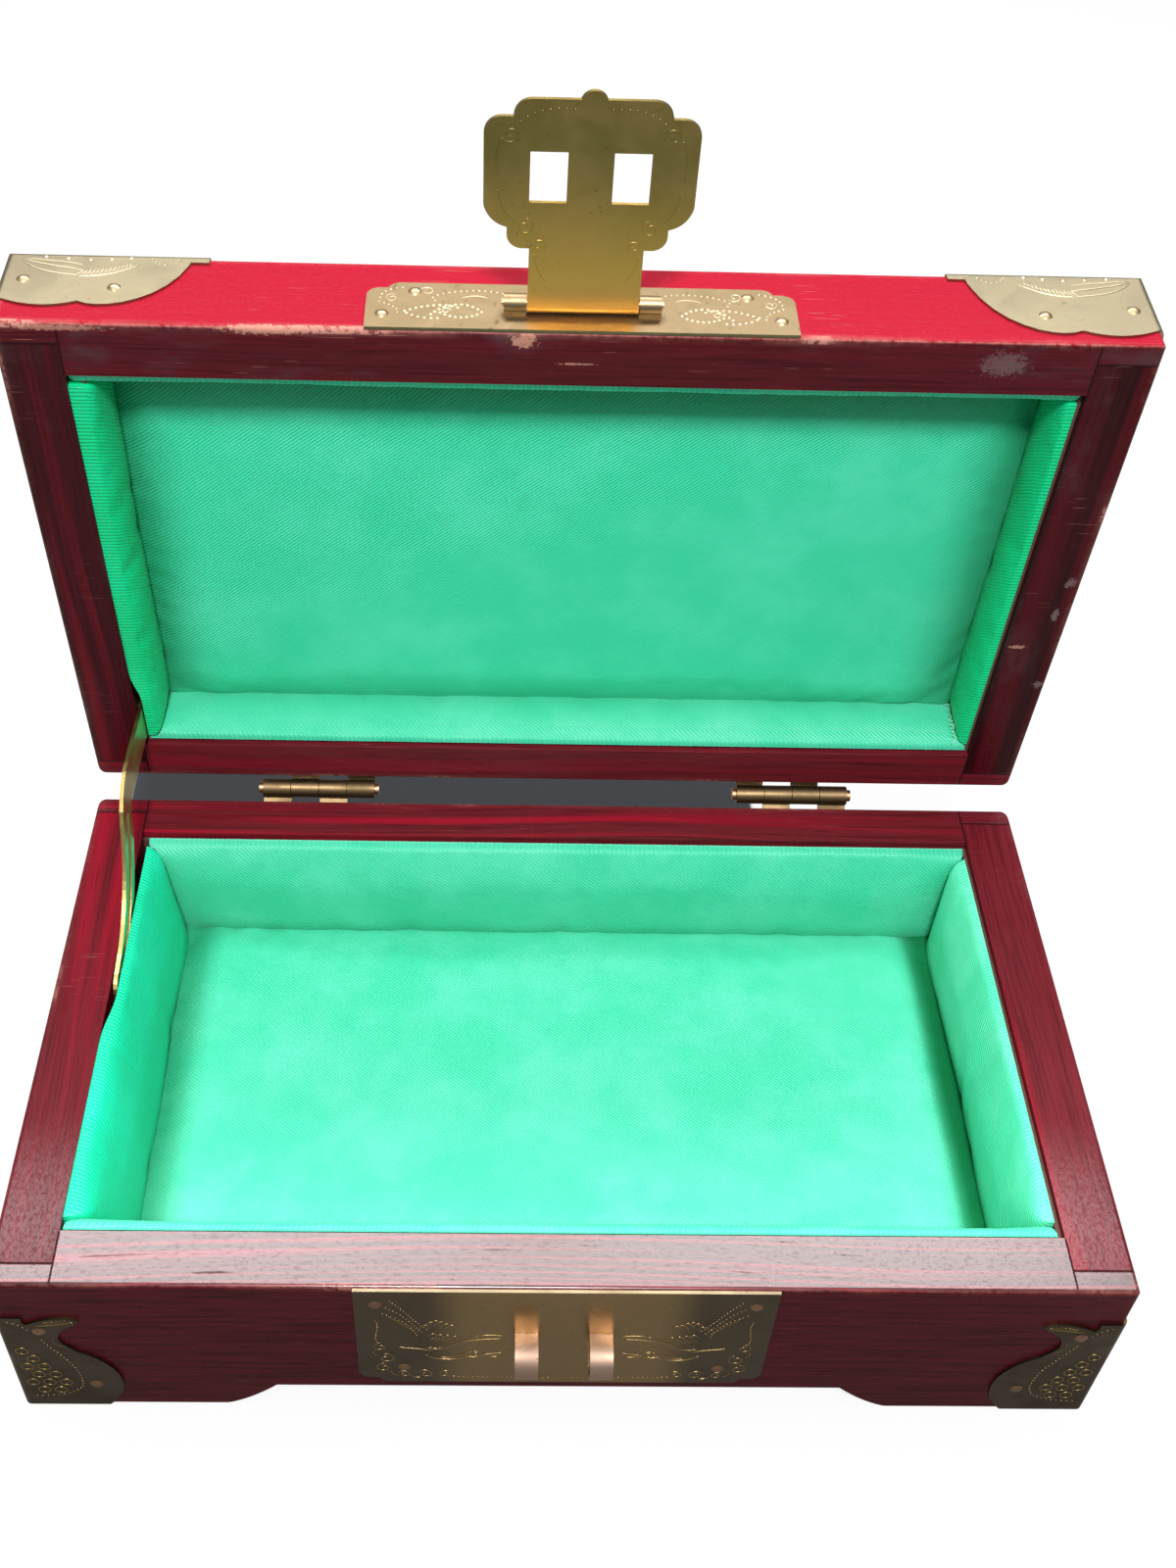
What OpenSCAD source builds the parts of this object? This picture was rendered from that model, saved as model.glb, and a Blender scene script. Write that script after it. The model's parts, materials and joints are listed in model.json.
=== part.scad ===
// Small lacquered jewelry box: a joined wooden base on bracket feet and a
// hinged lid, with sheet-brass corners, a lock plate with two staples, a
// slotted hasp, two butt hinges, a curved lid stay and padded linings.
// Millimetres. +X to the box's right, +Y to its back, +Z up.
// The lid stands open on its stay and the hasp stands out from the lid.

/* [Box] */
// Width over the boards
box_w = 203; // [185:1:240]
// Depth over the boards
box_d = 118; // [105:1:140]
// Height of the base with its feet
base_h = 45.2; // [44.6:0.2:56]
// Height of the lid
lid_h = 20.4; // [19:0.2:27]
// Thickness of the front boards
front_t = 10.8; // [9:0.2:13]
// Thickness of the back boards
back_t = 10.2; // [9:0.2:13]
// Thickness of the side boards
side_t = 11.2; // [9:0.2:13]
// How much of a front or back board laps the side board's end
lap = 4.3; // [3:0.1:5]
// Gap between the closed rims
rim_gap = 0.3; // [0.2:0.1:0.8]
// Radius of the eased edges
edge_r = 0.8; // [0.3:0.1:1.2]
// Radius of the upright corners at the back
back_r = 3; // [1.5:0.5:4]

/* [Feet] */
// Length of a foot along the front and back
foot_long = 35.5; // [28:0.5:45]
// Length of a foot along the sides
foot_short = 30; // [22:0.5:36]
// Rise of the arch between the feet
arch_rise = 8.2; // [5:0.2:10]
// Length of the curve from a foot up to the arch
arch_ramp = 12.5; // [8:0.5:16]

/* [Panels] */
// Thickness of the bottom panel
bottom_t = 3.4; // [3:0.2:4]
// Height of the bottom panel above the arch
bottom_lift = 0.5; // [0.4:0.1:1]
// Depth of the groove that holds the bottom panel
groove_in = 4; // [3:0.2:5]
// Thickness of the lid's top panel
top_t = 4; // [3:0.2:5]
// Width of the rebate that holds the top panel
rebate_in = 5; // [4:0.2:6]
// Clearance round a panel in its groove or rebate
panel_fit = 0.1; // [0.05:0.05:0.2]

/* [Lining] */
// Thickness of the card behind a lining
card_t = 0.8; // [0.5:0.1:1.2]
// Thickness of the base's floor pad
floor_pad_t = 6.4; // [4:0.2:8]
// Thickness of the base's wall pads
wall_pad_t = 3.2; // [2:0.2:4]
// Thickness of the lid's ceiling pad
ceiling_pad_t = 3.2; // [2:0.2:4]
// Thickness of the lid's wall pads
lid_pad_t = 2; // [1.4:0.2:3]
// How far the linings stop short of the rim
lining_drop = 1.1; // [0.6:0.1:2]
// Clearance between two soft pads
soft_gap = 0.3; // [0.2:0.1:0.5]

/* [Brass] */
// Thickness of the lock plate and the hasp plate
plate_t = 0.6; // [0.5:0.1:0.8]
// Half the width of the two plates
plate_half = 37.6; // [34:0.2:42]
// Drop of the lock plate below the rim
lock_drop = 34; // [32:0.5:36]
// Height of the hasp plate above the lid's lower edge
hasp_plate_h = 13.5; // [12:0.5:16]
// Thickness of the corner fittings
corner_t = 0.5; // [0.4:0.1:0.7]
// Scale of the base corner fittings' outline
base_corner_size = 1; // [0.85:0.05:1.1]
// Reach of the left lid corners down from the top
corner_reach_left = 15.7; // [14:0.1:17]
// Reach of the right lid corners down from the top
corner_reach_right = 18.3; // [16:0.1:18.6]
// Reach of the lid corners along the edges
corner_run = 33; // [26:0.5:38]

/* [Nails] */
// Radius of a nail's head
nail_head_r = 1.2; // [0.9:0.1:1.4]
// Height of a nail's head
nail_head_h = 0.5; // [0.3:0.1:0.8]
// Radius of a nail's shank
nail_r = 0.6; // [0.4:0.1:0.7]
// Length of a nail's shank
nail_l = 4.5; // [3:0.5:5]
// Clearance round a nail's shank
nail_fit = 0.04; // [0.02:0.02:0.1]

/* [Hasp] */
// Angle from the folded hasp to the standing one
hasp_open = 90; // [70:1:110]
// Height of the hasp's pin above the lid's lower edge
hasp_pin_up = 5.4; // [4.6:0.1:6.4]
// Radius of the hasp's rolled barrel
hasp_barrel_r = 1.6; // [1.5:0.1:1.8]
// Radius of the hasp's pin
hasp_pin_r = 0.7; // [0.5:0.05:0.8]
// Clearance round the hasp's pin
hasp_pin_fit = 0.05; // [0.03:0.01:0.1]
// Thickness of the hasp
hasp_t = 0.7; // [0.6:0.05:0.8]
// Clearance between the folded hasp and the plates
hasp_clear = 0.25; // [0.2:0.05:0.5]
// Half the width of the hasp's head
hasp_half = 17.3; // [16:0.1:19]
// Half the width of the hasp's neck
neck_half = 9.6; // [9:0.1:11]
// Distance from the pin to the hasp's tip
hasp_l = 39.5; // [38:0.5:42]
// Distance from the pin to the middle of the slots
slot_down = 24.6; // [23.6:0.2:25.6]
// Length of a knuckle beside the neck
hasp_knuckle = 3.8; // [3:0.1:5]
// Gap between the neck and a knuckle
knuckle_gap = 0.2; // [0.1:0.05:0.4]

/* [Staples] */
// Half the distance between the two staples
staple_x = 6.75; // [6:0.05:8]
// Width of a staple's strip
staple_w = 4.2; // [3.4:0.1:4.6]
// Thickness of a staple's strip
staple_t = 0.7; // [0.5:0.1:0.9]
// Height of a staple's loop
staple_h = 8; // [7:0.1:9]
// How far a staple stands out from the lock plate
staple_out = 6.4; // [6:0.1:8]
// Clearance at each side of a staple in the hasp's slot
slot_side = 0.95; // [0.6:0.05:1.2]
// Clearance above and below a staple in the hasp's slot
slot_end = 0.5; // [0.4:0.05:0.8]
// Clearance round a staple's legs
leg_fit = 0.05; // [0.03:0.01:0.1]

/* [Hinges] */
// Angle of the open lid
lid_open = 85.8; // [80:0.2:90]
// Distance of the hinge pins behind the back
hinge_out = 3.7; // [3.2:0.1:4.4]
// Radius of a hinge's barrel
barrel_r = 2.1; // [1.8:0.1:2.4]
// Radius of a hinge's pin
hinge_pin_r = 0.8; // [0.6:0.05:1]
// Clearance round a hinge's pin
hinge_pin_fit = 0.05; // [0.03:0.01:0.1]
// Width of a hinge
hinge_w = 24.8; // [20:0.2:30]
// Distance of a hinge's middle from the box's middle
hinge_x = 53; // [40:1:62]
// Thickness of a hinge leaf
leaf_t = 0.9; // [0.7:0.1:1.1]
// Height of a hinge leaf
leaf_h = 13; // [11:0.5:14]
// Gap between two knuckles
hinge_gap = 0.15; // [0.1:0.05:0.3]

/* [Stay] */
// Thickness of the stay
stay_t = 0.8; // [0.6:0.1:1]
// Width of the stay
stay_w = 8.2; // [7.6:0.2:8.8]
// Gap between the wall and the stay
stay_gap = 0.4; // [0.3:0.1:0.6]
// Distance of the stay's lid nail ahead of the hinge pins
lid_nail_y = 21; // [20.6:0.2:22]
// Height of the stay's lid nail above the lid's lower edge
lid_nail_z = 4.75; // [4.4:0.05:5]
// Distance of the stay's base nail ahead of the hinge pins
base_nail_y = 50; // [48:0.5:52]
// Depth of the stay's base nail below the rim
base_nail_z = 3; // [2.8:0.1:3.6]
// Share of the lid's turn that the stay follows
stay_share = 0.1; // [0.06:0.01:0.11]
// Radius of the stay's nails
stay_nail_r = 1; // [0.8:0.05:1.2]
// Clearance round the stay's lid nail
stay_nail_fit = 0.05; // [0.03:0.01:0.1]
// Clearance at each side of the base nail in the slot
stay_slot_fit = 0.35; // [0.3:0.05:0.6]
// Length of the stay past the base nail
stay_tail = 3; // [2:0.5:4]

/* [Hidden] */
$fn = 48;

WOOD = "#5a0f1a";
LID_WOOD = "#8a1426";
BRASS = "#b5984a";
OLD_BRASS = "#8c7a35";
SATIN = "#3fd39b";
CARD = "#b9a98a";

eps = 0.01;
far = 2 * (box_w + box_d);
half_w = box_w / 2;
half_d = box_d / 2;
in_x = half_w - side_t;
in_front = -half_d + front_t;
in_back = half_d - back_t;
lid_z = base_h + rim_gap;
lid_top = lid_z + lid_h;

// Hinge pins and the two nails of the stay, in the closed box
pin_y = half_d + hinge_out;
pin_z = base_h + rim_gap / 2;
lid_nail = [-lid_nail_y, lid_z + lid_nail_z - pin_z];
base_nail = [-base_nail_y, base_h - base_nail_z - pin_z];
stay_space = stay_gap + stay_t + 1;
stay_x = -in_x + stay_gap;

// Bottom panel and the floor above it
bottom_z = arch_rise + bottom_lift;
floor_z = bottom_z + bottom_t;
pad_floor = floor_z + card_t + floor_pad_t;
base_lining_top = base_h - lining_drop;

// Ceiling of the lid and the lower edge of its linings
ceiling_z = lid_top - top_t;
pad_ceiling = ceiling_z - card_t - ceiling_pad_t;
lid_lining_low = lid_z + lining_drop;

// Hasp pin in the closed box
hasp_y = -half_d - plate_t - hasp_clear - hasp_barrel_r;
hasp_z = lid_z + hasp_pin_up;
staple_z = hasp_z - slot_down;

// The open box is centred on the origin, front to back
front_reach = -half_d - plate_t - staple_out;
lid_back = [half_d + corner_t - pin_y, lid_top + corner_t - pin_z];
back_reach = pin_y + lid_back[0] * cos(lid_open) + lid_back[1] * sin(lid_open);
centre_y = (front_reach + back_reach) / 2;

// ---------- Placing ----------

module in_base() {
  translate([0, -centre_y, 0]) children();
}

module in_lid() {
  translate([0, pin_y - centre_y, pin_z]) rotate([-lid_open, 0, 0])
    translate([0, -pin_y, -pin_z]) children();
}

module in_hasp() {
  in_lid() translate([0, hasp_y, hasp_z]) rotate([-hasp_open, 0, 0])
    translate([0, -hasp_y, -hasp_z]) children();
}

module on_front(x, z) {
  translate([x, -half_d, z]) rotate([90, 0, 0]) children();
}

module on_back(x, z) {
  translate([x, half_d, z]) rotate([-90, 0, 0]) children();
}

module on_side(side, y, z) {
  translate([side * half_w, y, z]) rotate([0, side * 90, 0]) children();
}

// ---------- Shared shapes ----------

function bezier(a, b, c, d, n = 10) = [for (i = [0:n])
  let (t = i / n, s = 1 - t)
  s * s * s * a + 3 * s * s * t * b + 3 * s * t * t * c + t * t * t * d];

module round_rect(x0, y0, x1, y1, r) {
  translate([x0 + r, y0]) square([x1 - x0 - 2 * r, y1 - y0]);
  translate([x0, y0 + r]) square([x1 - x0, y1 - y0 - 2 * r]);
  for (x = [x0 + r, x1 - r], y = [y0 + r, y1 - r]) translate([x, y]) circle(r);
}

module block(x0, y0, z0, x1, y1, z1) {
  translate([x0, y0, z0]) cube([x1 - x0, y1 - y0, z1 - z0]);
}

// Plan of the box, grown by g, with its upright corners rounded
module plan(g = 0) {
  w = half_w + g;
  d = half_d + g;
  f = edge_r + g;
  b = back_r + g;
  translate([-w + f, -d]) square([2 * (w - f), d]);
  translate([-w, -d + f]) square([2 * w, d - f]);
  translate([-w + b, 0]) square([2 * (w - b), d]);
  translate([-w, 0]) square([2 * w, d - b]);
  for (s = [-1, 1]) {
    translate([s * (w - f), -d + f]) circle(f);
    translate([s * (w - b), d - b]) circle(b);
  }
}

// Solid outer form from z0 to z1, grown by g, with eased edges
module form(z0, z1, g = 0) {
  r = edge_r + g;
  intersection() {
    translate([0, 0, z0 - g]) linear_extrude(z1 - z0 + 2 * g) plan(g);
    rotate([90, 0, 0]) linear_extrude(far, center = true)
      round_rect(-half_w - g, z0 - g, half_w + g, z1 + g, r);
    rotate([90, 0, 90]) linear_extrude(far, center = true)
      round_rect(-half_d - g, z0 - g, half_d + g, z1 + g, r);
  }
}

// Plan of a front board (rear = 1) or back board (rear = -1)
module long_plan(rear, t) {
  y0 = -half_d;
  mirror([0, rear < 0 ? 1 : 0]) polygon([
    [-half_w - 1, y0 - 1], [half_w + 1, y0 - 1], [half_w + 1, y0 + lap],
    [in_x, y0 + lap], [in_x, y0 + t], [-in_x, y0 + t], [-in_x, y0 + lap],
    [-half_w - 1, y0 + lap]]);
}

// Plan of the left side board
module side_plan() {
  translate([-half_w - 1, -half_d + lap]) square([side_t + 1, box_d - 2 * lap]);
}

// Arch between two feet, across a length of 2 * half, as an outline to cut
module arch_outline(half, foot) {
  a = half - foot;
  n = 12;
  rise = [for (i = [0:n]) [-a + arch_ramp * i / n, arch_rise * pow(i / n, 1.7)]];
  fall = [for (i = [n:-1:0]) [-rise[i][0], rise[i][1]]];
  polygon(concat([[-a, -1]], rise, fall, [[a, -1]]));
}

// ---------- Nails ----------

module nail(seat) {
  cap = (nail_head_r * nail_head_r + nail_head_h * nail_head_h) / (2 * nail_head_h);
  translate([0, 0, seat]) {
    intersection() {
      translate([0, 0, nail_head_h - cap]) sphere(cap);
      cylinder(r = nail_head_r, h = nail_head_h);
    }
    translate([0, 0, -nail_l]) cylinder(r = nail_r, h = nail_l + nail_head_h / 2);
  }
}

module nail_hole() {
  translate([0, 0, -nail_l - nail_fit]) cylinder(r = nail_r + nail_fit, h = nail_l + 3);
}

// ---------- Base boards ----------

lock_nails = [[33.8, base_h - 4.8], [29.2, base_h - lock_drop + 5.8]];

module lock_nail_places() {
  for (s = [-1, 1], p = lock_nails) on_front(s * p[0], p[1]) children();
}

module base_hinge_nail_places(s) {
  for (i = [-1, 1]) on_back(s * hinge_x + i * hinge_w * 0.3, pin_z - leaf_h * 0.68)
    children();
}

module base_corner_nail_places() {
  for (s = [-1, 1], p = base_corner_nail_spots) {
    on_front(s * (half_w - p[0]), p[1]) children();
    on_back(s * (half_w - p[0]), p[1]) children();
    for (e = [-1, 1]) on_side(s, e * (half_d - p[0]), p[1]) children();
  }
}

// Every hole that nails and staples make in the base
module base_nail_holes() {
  base_corner_nail_places() nail_hole();
  lock_nail_places() nail_hole();
  for (s = [-1, 1]) base_hinge_nail_places(s) nail_hole();
  stay_nail_hole(base_nail);
  staple_leg_holes();
}

module bottom_panel_form(fit) {
  x = in_x + groove_in + fit;
  block(-x, in_front - groove_in - fit, bottom_z - fit,
    x, in_back + groove_in + fit, floor_z + fit);
}

module base_front_board() {
  in_base() color(WOOD) difference() {
    intersection() {
      form(0, base_h);
      linear_extrude(base_h) long_plan(1, front_t);
    }
    rotate([90, 0, 0]) linear_extrude(far, center = true) arch_outline(half_w, foot_long);
    bottom_panel_form(panel_fit);
    base_nail_holes();
  }
}

module base_back_board() {
  in_base() color(WOOD) difference() {
    intersection() {
      form(0, base_h);
      linear_extrude(base_h) long_plan(-1, back_t);
    }
    rotate([90, 0, 0]) linear_extrude(far, center = true) arch_outline(half_w, foot_long);
    bottom_panel_form(panel_fit);
    base_nail_holes();
  }
}

module base_side_board(s) {
  in_base() color(WOOD) difference() {
    mirror([s > 0 ? 1 : 0, 0, 0]) intersection() {
      form(0, base_h);
      linear_extrude(base_h) side_plan();
    }
    rotate([90, 0, 90]) linear_extrude(far, center = true) arch_outline(half_d, foot_short);
    bottom_panel_form(panel_fit);
    base_nail_holes();
  }
}

module base_left_board() { base_side_board(-1); }

module base_right_board() { base_side_board(1); }

module base_bottom_panel() {
  in_base() color(WOOD) bottom_panel_form(0);
}

// ---------- Base corner fittings ----------

// A fruit with a leaf above it, from the box's upright edge outwards
fruit_r = 13.5;
fruit_c = [6, 10];
fruit_low = 0.7;

function fruit_at(a) = fruit_c + fruit_r * [cos(a), sin(a)];

base_corner_outline = base_corner_size * concat(
  [[-corner_t - 1, fruit_low]],
  [for (a = [asin((fruit_low - fruit_c[1]) / fruit_r):8.6:60]) fruit_at(a)],
  bezier([12.6, 22], [11.2, 24], [9.6, 25.2], [10.1, 27.6]),
  bezier([10.1, 27.6], [10.8, 30.4], [13.2, 31.2], [14.7, 33.4]),
  bezier([14.7, 33.4], [12.2, 34.6], [8.6, 34.4], [5.1, 31.9]),
  bezier([5.1, 31.9], [4, 33.4], [2, 34], [-corner_t - 1, 34.4]));

base_corner_nail_spots = base_corner_size * [[7, 29.6], [14.4, 9.3]];

module base_corner(side, end) {
  depth = back_r + corner_t + 1;
  in_base() color(BRASS) difference() {
    intersection() {
      linear_extrude(base_h) difference() {
        plan(corner_t);
        plan(0);
      }
      mirror([side > 0 ? 1 : 0, 0, 0]) mirror([0, end > 0 ? 1 : 0, 0]) {
        translate([-half_w, -half_d + depth, 0]) rotate([90, 0, 0])
          linear_extrude(depth + corner_t + 1) polygon(base_corner_outline);
        translate([-half_w - corner_t - 1, -half_d, 0]) rotate([90, 0, 90])
          linear_extrude(depth + corner_t + 1) polygon(base_corner_outline);
      }
    }
    base_corner_nail_places() nail_hole();
  }
}

module base_corner_front_left() { base_corner(-1, -1); }

module base_corner_front_right() { base_corner(1, -1); }

module base_corner_rear_left() { base_corner(-1, 1); }

module base_corner_rear_right() { base_corner(1, 1); }

module base_corner_nails() {
  in_base() color(OLD_BRASS) base_corner_nail_places() nail(corner_t);
}

// ---------- Lock plate and staples ----------

step_x = 3.6;
step_z = 1.6;
step_r = 2.4;

module lock_plate() {
  low = base_h - lock_drop;
  top = base_h - 0.1;
  in_base() color(BRASS) difference() {
    translate([0, -half_d, 0]) rotate([90, 0, 0]) linear_extrude(plate_t) intersection() {
      union() {
        round_rect(-plate_half, low + step_z, plate_half, top + far, step_r);
        round_rect(-plate_half + step_x, low, plate_half - step_x, top + far, step_r);
      }
      translate([-far / 2, low - 1]) square([far, top - low + 1]);
    }
    lock_nail_places() nail_hole();
    staple_leg_holes();
  }
}

module lock_plate_nails() {
  in_base() color(OLD_BRASS) lock_nail_places() nail(plate_t);
}

staple_leg = 5;
staple_r = staple_h / 2;

// Side outline of a staple: two legs, and a loop with a round nose
module staple_outline(t) {
  nose = staple_out + plate_t - staple_r;
  difference() {
    union() {
      translate([-staple_leg, -staple_r]) square([staple_leg + nose, staple_h]);
      translate([nose, 0]) circle(staple_r);
    }
    translate([-staple_leg - 1, -staple_r + t])
      square([staple_leg + 1 + nose, staple_h - 2 * t]);
    translate([nose, 0]) circle(staple_r - t);
  }
}

module staple(side) {
  in_base() color(BRASS) translate([side * staple_x - staple_w / 2, -half_d, staple_z])
    rotate([90, 0, 90]) linear_extrude(staple_w) mirror([1, 0]) staple_outline(staple_t);
}

module staple_leg_holes() {
  w = staple_w + 2 * leg_fit;
  h = staple_t + 2 * leg_fit;
  for (s = [-1, 1], e = [-1, 1])
    translate([s * staple_x, -half_d - plate_t / 2, staple_z + e * (staple_r - staple_t / 2)])
      cube([w, 2 * (staple_leg + leg_fit) + plate_t, h], center = true);
}

module staple_left() { staple(-1); }

module staple_right() { staple(1); }

// ---------- Butt hinges ----------

knuckles = 4;
knuckle_l = (hinge_w - (knuckles - 1) * hinge_gap) / knuckles;

// Leaf below the pin, seen along X: y is the distance from the pin
module leaf_root() {
  low = -hinge_out;
  polygon([[low, -6], [low + leaf_t, -6], [low + leaf_t, -4.2], [0, -barrel_r],
    [0, -barrel_r + leaf_t], [low + leaf_t, -3.1], [low, -3.6]]);
}

// A leaf with the knuckles whose number leaves the remainder `odd`
module hinge_leaf(odd) {
  difference() {
    union() {
      block(-hinge_w / 2, -hinge_out, -leaf_h, hinge_w / 2, -hinge_out + leaf_t, -5);
      for (i = [odd:2:knuckles - 1])
        translate([-hinge_w / 2 + i * (knuckle_l + hinge_gap), 0, 0]) rotate([90, 0, 90])
          linear_extrude(knuckle_l) union() {
            circle(barrel_r);
            leaf_root();
          }
    }
    rotate([0, 90, 0]) cylinder(r = hinge_pin_r + hinge_pin_fit, h = hinge_w + 2, center = true);
  }
}

module base_leaf(side) {
  in_base() color(OLD_BRASS) difference() {
    translate([side * hinge_x, pin_y, pin_z]) hinge_leaf(side < 0 ? 0 : 1);
    base_hinge_nail_places(side) nail_hole();
  }
}

module lid_leaf(side) {
  in_lid() color(OLD_BRASS) difference() {
    translate([side * hinge_x, pin_y, pin_z]) mirror([0, 0, 1]) hinge_leaf(side < 0 ? 1 : 0);
    lid_hinge_nail_places(side) nail_hole();
  }
}

module hinge_pin(side) {
  in_base() color("#a4653c") translate([side * hinge_x, pin_y, pin_z]) rotate([0, 90, 0]) {
    cylinder(r = hinge_pin_r, h = hinge_w + 1, center = true);
    for (e = [-1, 1]) translate([0, 0, e * (hinge_w + 1) / 2])
      cylinder(r = hinge_pin_r + 0.5, h = 0.8, center = true);
  }
}

module hinge_left_base_leaf() { base_leaf(-1); }

module hinge_right_base_leaf() { base_leaf(1); }

module hinge_left_lid_leaf() { lid_leaf(-1); }

module hinge_right_lid_leaf() { lid_leaf(1); }

module hinge_left_pin() { hinge_pin(-1); }

module hinge_right_pin() { hinge_pin(1); }

module base_hinge_nails() {
  in_base() color(OLD_BRASS) for (s = [-1, 1]) base_hinge_nail_places(s) nail(leaf_t);
}

module lid_hinge_nails() {
  in_lid() color(OLD_BRASS) for (s = [-1, 1]) lid_hinge_nail_places(s) nail(leaf_t);
}

// ---------- Linings ----------

stay_card = -in_x + stay_space;

// Four upright cards round a cavity, and one flat card at z0 .. z0 + card_t
module cards(z0, z1, flat_z) {
  block(-in_x, in_front, z0, in_x, in_front + card_t, z1);
  block(-in_x, in_back - card_t, z0, in_x, in_back, z1);
  block(stay_card, in_front + card_t, z0, stay_card + card_t, in_back - card_t, z1);
  block(in_x - card_t, in_front + card_t, z0, in_x, in_back - card_t, z1);
  block(stay_card + card_t, in_front + card_t, flat_z,
    in_x - card_t, in_back - card_t, flat_z + card_t);
}

// Pads against the cards: side is "front", "back", "left" or "right"
module wall_pad(side, t, z0, z1) {
  x0 = stay_card + card_t;
  x1 = in_x - card_t;
  y0 = in_front + card_t;
  y1 = in_back - card_t;
  if (side == "front") block(x0, y0, z0, x1, y0 + t, z1);
  if (side == "back") block(x0, y1 - t, z0, x1, y1, z1);
  if (side == "left") block(x0, y0 + t + soft_gap, z0, x0 + t, y1 - t - soft_gap, z1);
  if (side == "right") block(x1 - t, y0 + t + soft_gap, z0, x1, y1 - t - soft_gap, z1);
}

module flat_pad(t, z0, z1) {
  in = card_t + t + soft_gap;
  block(stay_card + in, in_front + in, z0, in_x - in, in_back - in, z1);
}

module base_lining_cards() {
  in_base() color(CARD) cards(floor_z, base_lining_top - 0.6, floor_z);
}

module base_floor_pad() {
  in_base() color(SATIN) flat_pad(wall_pad_t, floor_z + card_t, pad_floor);
}

module base_lining(side) {
  in_base() color(SATIN) wall_pad(side, wall_pad_t, floor_z + card_t, base_lining_top);
}

module base_front_lining() { base_lining("front"); }

module base_back_lining() { base_lining("back"); }

module base_left_lining() { base_lining("left"); }

module base_right_lining() { base_lining("right"); }

module lid_lining_cards() {
  in_lid() color(CARD) cards(lid_lining_low + 0.6, ceiling_z, ceiling_z - card_t);
}

module lid_ceiling_pad() {
  in_lid() color(SATIN) flat_pad(lid_pad_t, pad_ceiling, ceiling_z - card_t);
}

module lid_lining(side) {
  in_lid() color(SATIN) wall_pad(side, lid_pad_t, lid_lining_low, ceiling_z - card_t);
}

module lid_front_lining() { lid_lining("front"); }

module lid_back_lining() { lid_lining("back"); }

module lid_left_lining() { lid_lining("left"); }

module lid_right_lining() { lid_lining("right"); }

// ---------- Lid boards ----------

hasp_nails = [[29.2, hasp_plate_h - 2.6], [34.7, hasp_plate_h - 9.4]];

// Nail spots of a lid corner's leaf: along from the upright edge, down from the top
function lid_face_spots(reach) = [[3.8, reach - 7.7], [19.9, reach - 5.6]];

function lid_side_spots(reach) = [[8, reach - 7.7], [21, reach - 5.6]];

function reach_of(side) = side < 0 ? corner_reach_left : corner_reach_right;

module lid_corner_nail_places() {
  for (s = [-1, 1], e = [-1, 1]) {
    for (p = lid_face_spots(reach_of(s))) {
      if (e < 0) on_front(s * (half_w - p[0]), lid_top - p[1]) children();
      if (e > 0) on_back(s * (half_w - p[0]), lid_top - p[1]) children();
    }
    for (p = lid_side_spots(reach_of(s)))
      on_side(s, e * (half_d - p[0]), lid_top - p[1]) children();
    translate([s * (half_w - corner_run + 3.4), e * (half_d - 2.4), lid_top]) children();
  }
}

module hasp_nail_places() {
  for (s = [-1, 1], p = hasp_nails) on_front(s * p[0], lid_z + p[1]) children();
}

module lid_hinge_nail_places(s) {
  for (i = [-1, 1]) on_back(s * hinge_x + i * hinge_w * 0.3, pin_z + leaf_h * 0.68)
    children();
}

// Every hole that nails make in the lid
module lid_nail_holes() {
  lid_corner_nail_places() nail_hole();
  hasp_nail_places() nail_hole();
  for (s = [-1, 1]) lid_hinge_nail_places(s) nail_hole();
  stay_nail_hole(lid_nail);
}

module top_panel_form(fit, up) {
  x = in_x + rebate_in + fit;
  block(-x, in_front - rebate_in - fit, ceiling_z - (up > 0 ? fit : 0),
    x, in_back + rebate_in + fit, lid_top + up);
}

module lid_front_board() {
  in_lid() color(LID_WOOD) difference() {
    intersection() {
      form(lid_z, lid_top);
      translate([0, 0, lid_z]) linear_extrude(lid_h) long_plan(1, front_t);
    }
    top_panel_form(panel_fit, 1);
    lid_nail_holes();
  }
}

module lid_back_board() {
  in_lid() color(LID_WOOD) difference() {
    intersection() {
      form(lid_z, lid_top);
      translate([0, 0, lid_z]) linear_extrude(lid_h) long_plan(-1, back_t);
    }
    top_panel_form(panel_fit, 1);
    lid_nail_holes();
  }
}

module lid_side_board(s) {
  in_lid() color(LID_WOOD) difference() {
    mirror([s > 0 ? 1 : 0, 0, 0]) intersection() {
      form(lid_z, lid_top);
      translate([0, 0, lid_z]) linear_extrude(lid_h) side_plan();
    }
    top_panel_form(panel_fit, 1);
    lid_nail_holes();
  }
}

module lid_left_board() { lid_side_board(-1); }

module lid_right_board() { lid_side_board(1); }

module lid_top_panel() {
  in_lid() color(LID_WOOD) top_panel_form(0, 0);
}

// ---------- Lid corner fittings ----------

// Scalloped leaf: x along the edge, y down from the top
function lid_corner_outline(reach) = let (top = corner_t + 1, cusp = corner_run * 0.43)
  concat(
    [[-corner_t - 1, -top]],
    bezier([-corner_t - 1, reach - 3.4], [3, reach + 0.2], [9, reach + 1], [cusp, reach - 1.4]),
    bezier([cusp, reach - 1.4], [cusp + 4, reach + 1.4], [corner_run - 2, reach - 1.6],
      [corner_run, -top]));

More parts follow.
